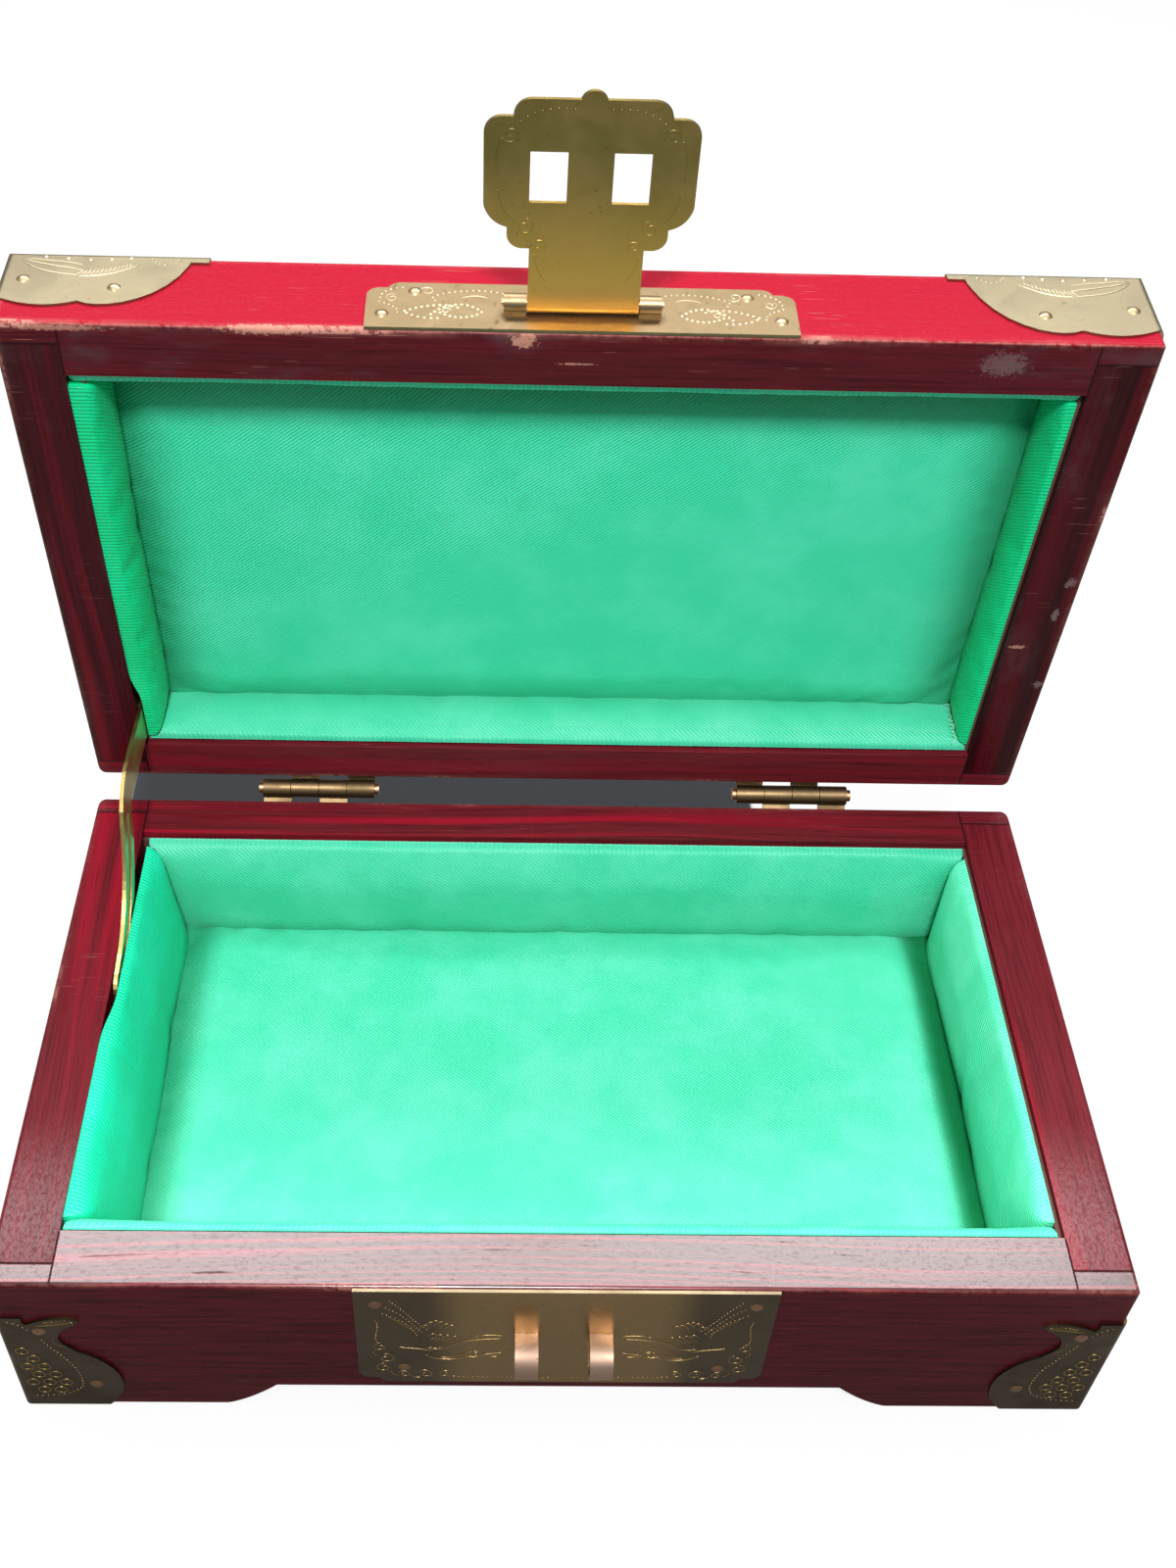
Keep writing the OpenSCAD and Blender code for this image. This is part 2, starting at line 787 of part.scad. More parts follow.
// Flap on the top: x along the front, y along the side
function lid_flap_outline() = let (a = corner_run + 2.5, b = corner_run * 0.8, o = -corner_t - 1)
  concat(
    [[o, o], [a, o]],
    bezier([a, 4], [a - 2, 9], [a - 9, 10], [a * 0.62, 10.5]),
    bezier([a * 0.62, 10.5], [a * 0.6, 14], [a * 0.42, 17], [a * 0.32, b * 0.62]),
    bezier([a * 0.32, b * 0.62], [a * 0.3, b * 0.8], [6, b - 1], [4, b]),
    [[o, b]]);

module lid_corner(side, end) {
  reach = reach_of(side);
  depth = back_r + corner_t + 1;
  in_lid() color(BRASS) difference() {
    intersection() {
      difference() {
        form(lid_z, lid_top, corner_t);
        form(lid_z, lid_top);
      }
      mirror([side > 0 ? 1 : 0, 0, 0]) mirror([0, end > 0 ? 1 : 0, 0]) {
        translate([-half_w, -half_d + depth, lid_top]) rotate([90, 0, 0])
          linear_extrude(depth + corner_t + 1) mirror([0, 1])
            polygon(lid_corner_outline(reach));
        translate([-half_w - corner_t - 1, -half_d, lid_top]) rotate([90, 0, 90])
          linear_extrude(depth + corner_t + 1) mirror([0, 1])
            polygon(lid_corner_outline(reach));
        translate([-half_w, -half_d, lid_top - 2]) linear_extrude(corner_t + 3)
          polygon(lid_flap_outline());
      }
    }
    lid_corner_nail_places() nail_hole();
  }
}

module lid_corner_front_left() { lid_corner(-1, -1); }

module lid_corner_front_right() { lid_corner(1, -1); }

module lid_corner_rear_left() { lid_corner(-1, 1); }

module lid_corner_rear_right() { lid_corner(1, 1); }

module lid_corner_nails() {
  in_lid() color(OLD_BRASS) lid_corner_nail_places() nail(corner_t);
}

// ---------- Hasp plate, pin and hasp ----------

knuckle_x = neck_half + knuckle_gap;

module hasp_knuckle_at(x) {
  root = hasp_barrel_r * 0.7;
  translate([x, hasp_y, hasp_z]) rotate([90, 0, 90]) linear_extrude(hasp_knuckle) union() {
    circle(hasp_barrel_r);
    translate([0, -root]) square([-half_d - hasp_y - plate_t / 2, 2 * root]);
  }
}

module hasp_pin_form(r, l) {
  translate([0, hasp_y, hasp_z]) rotate([0, 90, 0]) cylinder(r = r, h = l, center = true);
}

module hasp_plate() {
  low = lid_z + 0.1;
  top = lid_z + hasp_plate_h;
  in_lid() color(BRASS) difference() {
    union() {
      translate([0, -half_d, 0]) rotate([90, 0, 0]) linear_extrude(plate_t) intersection() {
        union() {
          round_rect(-plate_half, low - far, plate_half, top - step_z, step_r);
          round_rect(-plate_half + step_x, low - far, plate_half - step_x, top, step_r);
        }
        translate([-far / 2, low]) square([far, top - low + 1]);
      }
      hasp_knuckle_at(knuckle_x);
      hasp_knuckle_at(-knuckle_x - hasp_knuckle);
    }
    hasp_nail_places() nail_hole();
    hasp_pin_form(hasp_pin_r + hasp_pin_fit, far);
  }
}

module hasp_plate_nails() {
  in_lid() color(OLD_BRASS) hasp_nail_places() nail(plate_t);
}

module hasp_pin() {
  in_lid() color("#a4653c") hasp_pin_form(hasp_pin_r, 2 * (knuckle_x + hasp_knuckle) + 0.8);
}

// Hasp, laid out with the pin along x and its tip down at -hasp_l
slot_h = staple_h + 2 * slot_end;
slot_w = staple_w + 2 * slot_side;

module hasp_outline() {
  low = -hasp_l + 1.5;
  head_top = -slot_down + 9.2;
  shoulder_half = hasp_half - 3.9;
  foot_half = hasp_half - 4.7;
  tip_r = 2.2;
  translate([-neck_half, -slot_down]) square([2 * neck_half, slot_down]);
  round_rect(-hasp_half, low + 3, hasp_half, head_top - 1.6, 3);
  round_rect(-hasp_half, low + 8, hasp_half, head_top, 5);
  round_rect(-shoulder_half, -slot_down, shoulder_half, head_top + 3.8, 2.6);
  round_rect(-foot_half, low, foot_half, -slot_down, 3);
  translate([0, -hasp_l + tip_r]) circle(tip_r);
}

module hasp() {
  in_hasp() color(OLD_BRASS) difference() {
    union() {
      translate([0, hasp_y + hasp_barrel_r, hasp_z]) rotate([90, 0, 0])
        linear_extrude(hasp_t) hasp_outline();
      hasp_roll();
    }
    for (s = [-1, 1]) translate([s * staple_x, hasp_y, staple_z])
      cube([slot_w, far, slot_h], center = true);
    hasp_pin_form(hasp_pin_r + hasp_pin_fit, far);
  }
}

// The neck's end, rolled round the pin
module hasp_roll() {
  translate([-neck_half, hasp_y, hasp_z]) rotate([90, 0, 90])
    linear_extrude(2 * neck_half) circle(hasp_barrel_r);
}

// ---------- Lid stay ----------

function turn(a, p) = [p[0] * cos(a) - p[1] * sin(a), p[0] * sin(a) + p[1] * cos(a)];

// Where the base nail lies in the open stay when the lid has closed by a
function slot_at(a) = turn(-lid_open, lid_nail)
  + turn(-stay_share * a, base_nail - turn(a - lid_open, lid_nail));

slot_steps = 16;
slot_path = [for (i = [0:slot_steps]) slot_at(lid_open * i / slot_steps)];

function unit(v) = v / norm(v);

slot_start = unit(slot_path[0] - slot_path[1]);
slot_finish = unit(slot_path[slot_steps] - slot_path[slot_steps - 1]);
slot_last = slot_path[slot_steps];
open_nail = turn(-lid_open, lid_nail);
neck_l = norm(open_nail - slot_last);

// Middle line of the stay: past the base nail, along the slot, to the lid nail
stay_path = concat(
  [slot_path[0] + stay_tail * slot_start],
  slot_path,
  [for (p = bezier(slot_last, slot_last + 0.3 * neck_l * slot_finish,
      open_nail - 0.55 * neck_l * [1, 0.1], open_nail, 12)) if (p != slot_last) p]);

function along(path, i) = unit(path[min(len(path) - 1, i + 1)] - path[max(0, i - 1)]);

function side_of(path, i, d) = path[i] + d * [-along(path, i)[1], along(path, i)[0]];

// Half a circle round p, from the left of the heading v to its right
function round_end(p, v, r) = [for (a = [75:-15:-75]) p + r * [
  v[0] * cos(a) - v[1] * sin(a), v[0] * sin(a) + v[1] * cos(a)]];

module band(path, half) {
  last = len(path) - 1;
  polygon(concat(
    [for (i = [0:last]) side_of(path, i, half)],
    round_end(path[last], along(path, last), half),
    [for (i = [last:-1:0]) side_of(path, i, -half)],
    round_end(path[0], -along(path, 0), half)));
}

module lid_stay() {
  in_base() color(BRASS) translate([stay_x, pin_y, pin_z]) rotate([90, 0, 90])
    linear_extrude(stay_t) difference() {
      band(stay_path, stay_w / 2);
      band(slot_path, stay_nail_r + stay_slot_fit);
      translate(open_nail) circle(stay_nail_r + stay_nail_fit);
    }
}

module stay_nail(at) {
  out = stay_x + stay_t + 0.15;
  translate([0, pin_y + at[0], pin_z + at[1]]) rotate([0, 90, 0]) {
    translate([0, 0, -in_x - nail_l]) cylinder(r = stay_nail_r, h = out + in_x + nail_l);
    translate([0, 0, out]) cylinder(r = stay_nail_r + 0.8, h = 0.6);
  }
}

module stay_nail_hole(at) {
  translate([-in_x - nail_l - nail_fit, pin_y + at[0], pin_z + at[1]]) rotate([0, 90, 0])
    cylinder(r = stay_nail_r + nail_fit, h = nail_l + 3);
}

module stay_base_nail() {
  in_base() color(BRASS) stay_nail(base_nail);
}

module stay_lid_nail() {
  in_lid() color(BRASS) stay_nail(lid_nail);
}

base_front_board();
base_back_board();
base_left_board();
base_right_board();
base_bottom_panel();
base_corner_front_left();
base_corner_front_right();
base_corner_rear_left();
base_corner_rear_right();
base_corner_nails();
lock_plate();
lock_plate_nails();
staple_left();
staple_right();
hinge_left_base_leaf();
hinge_right_base_leaf();
hinge_left_pin();
hinge_right_pin();
base_hinge_nails();
stay_base_nail();
base_lining_cards();
base_floor_pad();
base_front_lining();
base_back_lining();
base_left_lining();
base_right_lining();
lid_front_board();
lid_back_board();
lid_left_board();
lid_right_board();
lid_top_panel();
lid_corner_front_left();
lid_corner_front_right();
lid_corner_rear_left();
lid_corner_rear_right();
lid_corner_nails();
hasp_plate();
hasp_plate_nails();
hasp_pin();
hinge_left_lid_leaf();
hinge_right_lid_leaf();
lid_hinge_nails();
stay_lid_nail();
lid_lining_cards();
lid_ceiling_pad();
lid_front_lining();
lid_back_lining();
lid_left_lining();
lid_right_lining();
hasp();
lid_stay();
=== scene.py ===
"""Looks of a red lacquered jewelry box: figured lacquer, pressed brass and padded satin.

Laid out as an add-on: settings, one operator for each group of pieces, one panel.
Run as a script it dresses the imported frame. Metres; +X right, +Y back, +Z up.
"""

import json
import math
import random
from fnmatch import fnmatchcase

import bpy
import numpy as np
from mathutils import Matrix, Vector


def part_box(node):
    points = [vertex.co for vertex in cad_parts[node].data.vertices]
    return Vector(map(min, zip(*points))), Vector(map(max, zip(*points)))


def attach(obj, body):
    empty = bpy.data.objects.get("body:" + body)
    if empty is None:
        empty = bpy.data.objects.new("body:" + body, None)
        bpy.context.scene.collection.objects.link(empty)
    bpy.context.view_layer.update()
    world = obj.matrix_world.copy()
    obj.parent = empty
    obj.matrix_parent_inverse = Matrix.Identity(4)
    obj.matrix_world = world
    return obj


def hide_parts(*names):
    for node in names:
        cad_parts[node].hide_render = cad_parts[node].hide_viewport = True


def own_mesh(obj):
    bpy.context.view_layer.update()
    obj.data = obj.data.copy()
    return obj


bl_info = {
    "name": "Lacquered Jewelry Box",
    "version": (1, 0, 0),
    "blender": (4, 5, 0),
    "location": "3D Viewport > Sidebar > Jewelry Box",
    "description": "Dresses a hinged jewelry box in lacquer, pressed brass and padded satin",
    "category": "Object",
}

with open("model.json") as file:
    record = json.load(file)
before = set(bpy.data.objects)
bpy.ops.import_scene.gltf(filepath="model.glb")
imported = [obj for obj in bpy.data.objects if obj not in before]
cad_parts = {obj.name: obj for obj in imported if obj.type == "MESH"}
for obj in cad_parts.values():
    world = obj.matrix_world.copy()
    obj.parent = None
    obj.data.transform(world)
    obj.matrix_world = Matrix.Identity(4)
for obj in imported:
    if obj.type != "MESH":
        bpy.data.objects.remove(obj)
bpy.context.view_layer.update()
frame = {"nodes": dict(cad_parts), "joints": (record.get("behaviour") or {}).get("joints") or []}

MM = 0.001
JOINTS = {j["name"]: j for j in frame["joints"]}
LID_PIN = Vector(JOINTS["lid_hinge"]["pos_m"])
LID_ANGLE = math.radians(JOINTS["lid_hinge"]["range_deg"][1])
LID_TURN = Matrix.Rotation(-LID_ANGLE, 3, "X")
HASP_PIN = Vector(JOINTS["hasp_hinge"]["pos_m"])
HASP_TURN = Matrix.Rotation(-math.radians(JOINTS["hasp_hinge"]["range_deg"][1]), 3, "X")


# ---------- Places on the box ----------

def opened(p):
    """A point of the closed lid, where it is with the lid open."""
    return LID_PIN + LID_TURN @ (Vector(p) - LID_PIN)


def closed(p):
    """A point of the open lid, where it is with the lid closed."""
    return LID_PIN + LID_TURN.transposed() @ (Vector(p) - LID_PIN)


def stay_put(p):
    """A point of the base, which doesn't move."""
    return Vector(p)


def closed_box(node):
    """Lowest and highest corners of a lid node with the lid closed."""
    points = [closed(v.co) for v in frame["nodes"][node].data.vertices]
    return [Vector([f(p[i] for p in points) for i in range(3)]) for f in (min, max)]


def base_box(node):
    """Lowest and highest corners of a node of the base."""
    low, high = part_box(node)
    return [Vector(low), Vector(high)]


BASE_LOW, BASE_HIGH = base_box("base_front_board")
BACK_HIGH = base_box("base_back_board")[1]
HALF_W = BASE_HIGH.x
FRONT_Y = BASE_LOW.y
BACK_Y = BACK_HIGH.y
MID_Y = (FRONT_Y + BACK_Y) / 2
HALF_D = (BACK_Y - FRONT_Y) / 2
BASE_TOP = BASE_HIGH.z
LID_LOW, LID_HIGH = closed_box("lid_front_board")
LID_TOP = LID_HIGH.z
SIDE_IN = -base_box("base_left_board")[1].x
LAP_Y = base_box("base_left_board")[0].y
PLATE_T = FRONT_Y - base_box("lock_plate")[0].y
CORNER_T = FRONT_Y - base_box("base_corner_front_left")[0].y


# ---------- Settings ----------

class JewelryBoxLacquer(bpy.types.PropertyGroup):
    deep: bpy.props.FloatVectorProperty(
        name="Deep Lacquer", description="Darkest colour of the lacquered grain",
        subtype="COLOR", size=4, min=0, max=1, default=(0.014, 0.003, 0.004, 1))
    maroon: bpy.props.FloatVectorProperty(
        name="Maroon", description="Usual colour of the lacquer",
        subtype="COLOR", size=4, min=0, max=1, default=(0.060, 0.005, 0.008, 1))
    # crimson also fills the lid's front face, where its brightness is partly painted light
    crimson: bpy.props.FloatVectorProperty(
        name="Crimson", description="Colour of the bright streaks and of the lid's front",
        subtype="COLOR", size=4, min=0, max=1, default=(0.345, 0.005, 0.021, 1))
    bare: bpy.props.FloatVectorProperty(
        name="Bare Wood", description="Colour of the wood where the lacquer is chipped",
        subtype="COLOR", size=4, min=0, max=1, default=(0.46, 0.20, 0.16, 1))
    streaks: bpy.props.FloatProperty(
        name="Streaks Across", description="Grain streaks in a metre across the board",
        min=50, max=800, default=330)
    wear_reach: bpy.props.FloatProperty(
        name="Wear Reach", description="How far the wear reaches from an edge",
        subtype="DISTANCE", unit="LENGTH", min=0.0002, max=0.006, default=0.0017)


class JewelryBoxBrass(bpy.types.PropertyGroup):
    pale: bpy.props.FloatVectorProperty(
        name="Pale Brass", description="Colour of the lid's fittings",
        subtype="COLOR", size=4, min=0, max=1, default=(0.36, 0.305, 0.20, 1))
    dark: bpy.props.FloatVectorProperty(
        name="Dark Brass", description="Colour of the base's fittings",
        subtype="COLOR", size=4, min=0, max=1, default=(0.085, 0.057, 0.028, 1))
    bronze: bpy.props.FloatVectorProperty(
        name="Worn Brass", description="Colour of the hasp",
        subtype="COLOR", size=4, min=0, max=1, default=(0.33, 0.24, 0.08, 1))
    copper: bpy.props.FloatVectorProperty(
        name="Copper", description="Colour of the hinge pins",
        subtype="COLOR", size=4, min=0, max=1, default=(0.62, 0.33, 0.18, 1))
    line_width: bpy.props.FloatProperty(
        name="Line Width", description="Width of a pressed line",
        subtype="DISTANCE", unit="LENGTH", min=0.0001, max=0.001, default=0.00030)
    line_height: bpy.props.FloatProperty(
        name="Line Height", description="Height of a pressed line",
        subtype="DISTANCE", unit="LENGTH", min=0.00005, max=0.0005, default=0.00013)
    dot_radius: bpy.props.FloatProperty(
        name="Dot Radius", description="Radius of a punched dot",
        subtype="DISTANCE", unit="LENGTH", min=0.0001, max=0.0008, default=0.00027)
    dot_pitch: bpy.props.FloatProperty(
        name="Dot Pitch", description="Distance between two punched dots",
        subtype="DISTANCE", unit="LENGTH", min=0.0004, max=0.003, default=0.00105)


class JewelryBoxLining(bpy.types.PropertyGroup):
    satin: bpy.props.FloatVectorProperty(
        name="Satin", description="Colour of the lining",
        subtype="COLOR", size=4, min=0, max=1, default=(0.110, 0.80, 0.54, 1))
    twill: bpy.props.FloatProperty(
        name="Twill Pitch", description="Distance between two twill lines",
        subtype="DISTANCE", unit="LENGTH", min=0.0003, max=0.002, default=0.00062)
    cell: bpy.props.FloatProperty(
        name="Cloth Cell", description="Size of one cell of the lining's mesh",
        subtype="DISTANCE", unit="LENGTH", min=0.001, max=0.006, default=0.0021)
    pressure: bpy.props.FloatProperty(
        name="Padding Pressure", description="How hard the padding pushes the satin out",
        min=0, max=20, default=2.0)
    slack: bpy.props.FloatProperty(
        name="Slack", description="Extra length of the satin, as a share",
        min=0, max=0.2, default=0.014)


class JewelryBoxStage(bpy.types.PropertyGroup):
    floor: bpy.props.FloatVectorProperty(
        name="Floor", description="Colour of the floor in the object's light",
        subtype="COLOR", size=4, min=0, max=1, default=(0.22, 0.22, 0.22, 1))
    key: bpy.props.FloatProperty(
        name="Key Light", description="Power of the light in front and above",
        subtype="POWER", unit="POWER", min=0, max=200, default=12.0)
    back: bpy.props.FloatProperty(
        name="Back Light", description="Power of the light behind, which the front rim mirrors",
        subtype="POWER", unit="POWER", min=0, max=200, default=9.5)
    top: bpy.props.FloatProperty(
        name="Top Light", description="Power of the broad light overhead",
        subtype="POWER", unit="POWER", min=0, max=200, default=2.0)
    fill: bpy.props.FloatProperty(
        name="Fill", description="Strength of the even light from all round",
        min=0, max=3, default=0.25)
    focal: bpy.props.FloatProperty(
        name="Focal Length", description="Focal length of the camera in millimetres",
        min=10, max=200, default=39.65)


class JewelryBoxSettings(bpy.types.PropertyGroup):
    lacquer: bpy.props.PointerProperty(type=JewelryBoxLacquer)
    brass: bpy.props.PointerProperty(type=JewelryBoxBrass)
    lining: bpy.props.PointerProperty(type=JewelryBoxLining)
    stage: bpy.props.PointerProperty(type=JewelryBoxStage)


def settings():
    """The sizes and colours that a user may change."""
    return bpy.context.scene.jewelry_box


# ---------- Shader helpers ----------

class Nodes:
    """Places and links the nodes of one tree."""

    def __init__(self, tree):
        self.tree = tree

    def add(self, kind, inputs=None, **props):
        node = self.tree.nodes.new(kind)
        for key, value in props.items():
            setattr(node, key, value)
        for key, value in (inputs or {}).items():
            self.feed(node.inputs[key], value)
        return node

    def feed(self, socket, value):
        if isinstance(value, bpy.types.NodeSocket):
            self.tree.links.new(value, socket)
        else:
            socket.default_value = value

    def math(self, operation, a, b=0.0, clamp=False):
        return self.add("ShaderNodeMath", {0: a, 1: b},
                        operation=operation, use_clamp=clamp).outputs[0]

    def times(self, a, b, clamp=False):
        return self.math("MULTIPLY", a, b, clamp=clamp)

    def plus(self, a, b):
        return self.math("ADD", a, b)

    def minus(self, a, b):
        return self.math("SUBTRACT", a, b)

    def over(self, a, b):
        return self.math("DIVIDE", a, b)

    def rest(self, a, clamp=False):
        """What is left of 1 when a is taken away."""
        return self.math("SUBTRACT", 1.0, a, clamp=clamp)

    def most(self, a, b):
        return self.math("MAXIMUM", a, b)

    def least(self, a, b):
        return self.math("MINIMUM", a, b)

    def absolute(self, a):
        return self.math("ABSOLUTE", a)

    def vector(self, operation, a, b=(0, 0, 0)):
        return self.add("ShaderNodeVectorMath", {0: a, 1: b}, operation=operation).outputs[0]

    def split(self, vector):
        return self.add("ShaderNodeSeparateXYZ", {0: vector}).outputs

    def join(self, x, y, z):
        return self.add("ShaderNodeCombineXYZ", {0: x, 1: y, 2: z}).outputs[0]

    def fade(self, value, start, end):
        """0 at start, 1 at end, smooth between."""
        return self.add("ShaderNodeMapRange", {0: value, 1: start, 2: end},
                        interpolation_type="SMOOTHSTEP").outputs[0]

    def noise(self, vector, scale, detail=3.0, roughness=0.5, distortion=0.0):
        return self.add("ShaderNodeTexNoise", {
            "Vector": vector, "Scale": scale, "Detail": detail,
            "Roughness": roughness, "Distortion": distortion}).outputs["Fac"]

    def mix(self, amount, a, b):
        node = self.add("ShaderNodeMix", data_type="RGBA", blend_type="MIX")
        self.feed(node.inputs[0], amount)
        self.feed(node.inputs[6], a)
        self.feed(node.inputs[7], b)
        return node.outputs[2]

    def group(self, tree, inputs):
        node = self.add("ShaderNodeGroup", node_tree=tree)
        for key, value in inputs.items():
            self.feed(node.inputs[key], value)
        return node.outputs


def new_group(name, inputs, outputs):
    """A shader node group with named sockets, and the helper that fills it."""
    tree = bpy.data.node_groups.new(name, "ShaderNodeTree")
    kinds = {"vector": "NodeSocketVector", "value": "NodeSocketFloat", "color": "NodeSocketColor"}
    for label, kind, default in inputs:
        socket = tree.interface.new_socket(label, in_out="INPUT", socket_type=kinds[kind])
        if default is not None:
            socket.default_value = default
    for label, kind in outputs:
        tree.interface.new_socket(label, in_out="OUTPUT", socket_type=kinds[kind])
    nodes = Nodes(tree)
    source = nodes.add("NodeGroupInput").outputs
    target = nodes.add("NodeGroupOutput").inputs
    return tree, nodes, source, target


def grain_group():
    """Long streaks, fine lines and open pores of wood, along X of its vector."""
    tree, n, i, o = new_group(
        "Wood Grain",
        [("Vector", "vector", None), ("Across", "value", 330.0), ("Lines", "value", 1650.0),
         ("Seed", "value", 0.0)],
        [("Streak", "value"), ("Fine", "value"), ("Pores", "value"), ("Height", "value")])
    x, y, z = n.split(i["Vector"])[:3]
    bend = n.times(n.noise(n.join(n.times(x, 9.0), y, i["Seed"]), 1.0, 1.0), 0.008)
    y = n.plus(y, bend)
    across, deep = n.times(y, i["Across"]), n.times(z, i["Across"])
    broad = n.noise(n.join(n.times(x, 5.0), across, n.plus(deep, i["Seed"])), 1.0, 2.0, 0.5)
    lines = n.noise(n.join(n.times(x, 45.0), n.times(y, i["Lines"]),
                           n.plus(n.times(z, i["Lines"]), i["Seed"])), 1.0, 2.0, 0.6)
    pores = n.fade(lines, 0.64, 0.76)
    n.feed(o["Streak"], n.fade(broad, 0.46, 0.68))
    n.feed(o["Fine"], lines)
    n.feed(o["Pores"], pores)
    n.feed(o["Height"], n.minus(n.times(lines, 0.6), pores))
    return tree


def edge_group():
    """Distance from the nearest edge of a box, and the wear that follows it."""
    tree, n, i, o = new_group(
        "Box Edge Wear",
        [("Vector", "vector", None), ("Middle", "vector", None), ("Half", "vector", None),
         ("Reach", "value", 0.0017), ("Seed", "value", 0.0)],
        [("Rub", "value"), ("Chips", "value"), ("Line", "value"), ("Scratches", "value")])
    offset = n.vector("SUBTRACT", i["Vector"], i["Middle"])
    gap = n.vector("SUBTRACT", i["Half"], n.vector("ABSOLUTE", offset))
    a, b, c = n.split(gap)[:3]
    second = n.most(n.least(a, b), n.least(n.most(a, b), c))
    place = n.vector("ADD", i["Vector"], n.join(i["Seed"], 0.0, 0.0))
    patch = n.noise(place, 38.0, 2.0, 0.6)
    grit = n.noise(place, 700.0, 2.0, 0.7, 0.5)
    near = n.rest(n.over(second, i["Reach"]), clamp=True)
    rub = n.times(near, n.fade(n.plus(patch, n.times(grit, 0.35)), 0.56, 0.84))
    worn = n.times(n.fade(patch, 0.60, 0.66), n.fade(grit, 0.42, 0.52))
    line = n.rest(n.fade(second, 0.00012, 0.00055))
    x, y, z = n.split(place)[:3]
    thin = n.noise(n.join(n.times(x, 110.0), n.times(y, 3600.0), n.times(z, 3600.0)), 1.0, 1.0, 0.5)
    n.feed(o["Rub"], rub)
    n.feed(o["Chips"], n.times(n.fade(near, 0.30, 0.55), worn))
    n.feed(o["Line"], n.times(line, n.fade(grit, 0.30, 0.60)))
    n.feed(o["Scratches"], n.times(n.fade(thin, 0.71, 0.75), n.fade(patch, 0.50, 0.60)))
    return tree


def twill_group():
    """Diagonal ribs of twill, broken up by uneven threads, and a cloud that places a painted sheen."""
    tree, n, i, o = new_group(
        "Twill Weave",
        [("Vector", "vector", None), ("Pitch", "value", 0.0006)],
        [("Height", "value"), ("Shade", "value"), ("Pull", "value")])
    x, y, z = n.split(i["Vector"])[:3]
    across = n.over(n.plus(n.times(x, 0.62), n.times(y, 0.78)), i["Pitch"])
    wobble = n.noise(i["Vector"], 90.0, 2.0)
    rib = n.math("SINE", n.times(n.plus(across, n.times(wobble, 0.8)), 2 * math.pi))
    thread = n.noise(n.join(n.times(x, 5200.0), n.times(y, 900.0), z), 1.0, 2.0, 0.6)
    cloud = n.noise(i["Vector"], 55.0, 3.0, 0.6)
    height = n.plus(n.times(rib, 0.5), thread)
    n.feed(o["Height"], height)
    n.feed(o["Shade"], n.plus(n.times(rib, 0.13), n.times(thread, 0.6)))
    n.feed(o["Pull"], cloud)
    return tree


def tarnish_group():
    """Clouds, specks and fine scratches of aged sheet brass."""
    tree, n, i, o = new_group(
        "Brass Tarnish",
        [("Vector", "vector", None), ("Seed", "value", 0.0)],
        [("Cloud", "value"), ("Specks", "value"), ("Scratch", "value"), ("Height", "value")])
    place = n.vector("ADD", i["Vector"], n.join(i["Seed"], 0.0, 0.0))
    x, y, z = n.split(place)[:3]
    cloud = n.fade(n.noise(place, 75.0, 3.0, 0.62, 0.6), 0.36, 0.68)
    specks = n.fade(n.noise(place, 620.0, 3.0, 0.65), 0.64, 0.72)
    scratch = n.noise(n.join(n.times(x, 90.0), n.times(y, 2400.0), n.times(z, 2400.0)), 1.0, 2.0, 0.6)
    n.feed(o["Cloud"], cloud)
    n.feed(o["Specks"], specks)
    n.feed(o["Scratch"], scratch)
    n.feed(o["Height"], n.plus(n.times(scratch, 0.4), n.noise(place, 260.0, 3.0, 0.6)))
    return tree


GROUPS = {}


def shared(name):
    """The node group of that name, made when it is first asked for."""
    makers = {"grain": grain_group, "edge": edge_group, "twill": twill_group, "tarnish": tarnish_group}
    if name not in GROUPS:
        GROUPS[name] = makers[name]()
    return GROUPS[name]


def new_material(name):
    """A material with a Principled shader: itself, its node helper and the shader's sockets."""
    material = bpy.data.materials.new(name)
    material.use_nodes = True
    material.node_tree.nodes.clear()
    nodes = Nodes(material.node_tree)
    shader = nodes.add("ShaderNodeBsdfPrincipled")
    nodes.add("ShaderNodeOutputMaterial", {"Surface": shader.outputs[0]})
    return material, nodes, shader.inputs


def rest_place(n, on_lid):
    """Object position, turned back to the closed lid for the lid's pieces."""
    place = n.add("ShaderNodeTexCoord").outputs["Object"]
    if not on_lid:
        return place
    return n.add("ShaderNodeVectorRotate", {"Vector": place, "Center": LID_PIN, "Angle": LID_ANGLE},
                 rotation_type="X_AXIS").outputs[0]


def rest_normal(n, on_lid):
    """Object normal, turned back in the same way."""
    normal = n.add("ShaderNodeTexCoord").outputs["Normal"]
    if not on_lid:
        return normal
    return n.add("ShaderNodeVectorRotate", {"Vector": normal, "Angle": LID_ANGLE},
                 rotation_type="X_AXIS").outputs[0]


def bump(n, height, strength, distance):
    """A bumped normal from a height that varies over the surface."""
    return n.add("ShaderNodeBump", {"Strength": strength, "Distance": distance, "Height": height}).outputs[0]


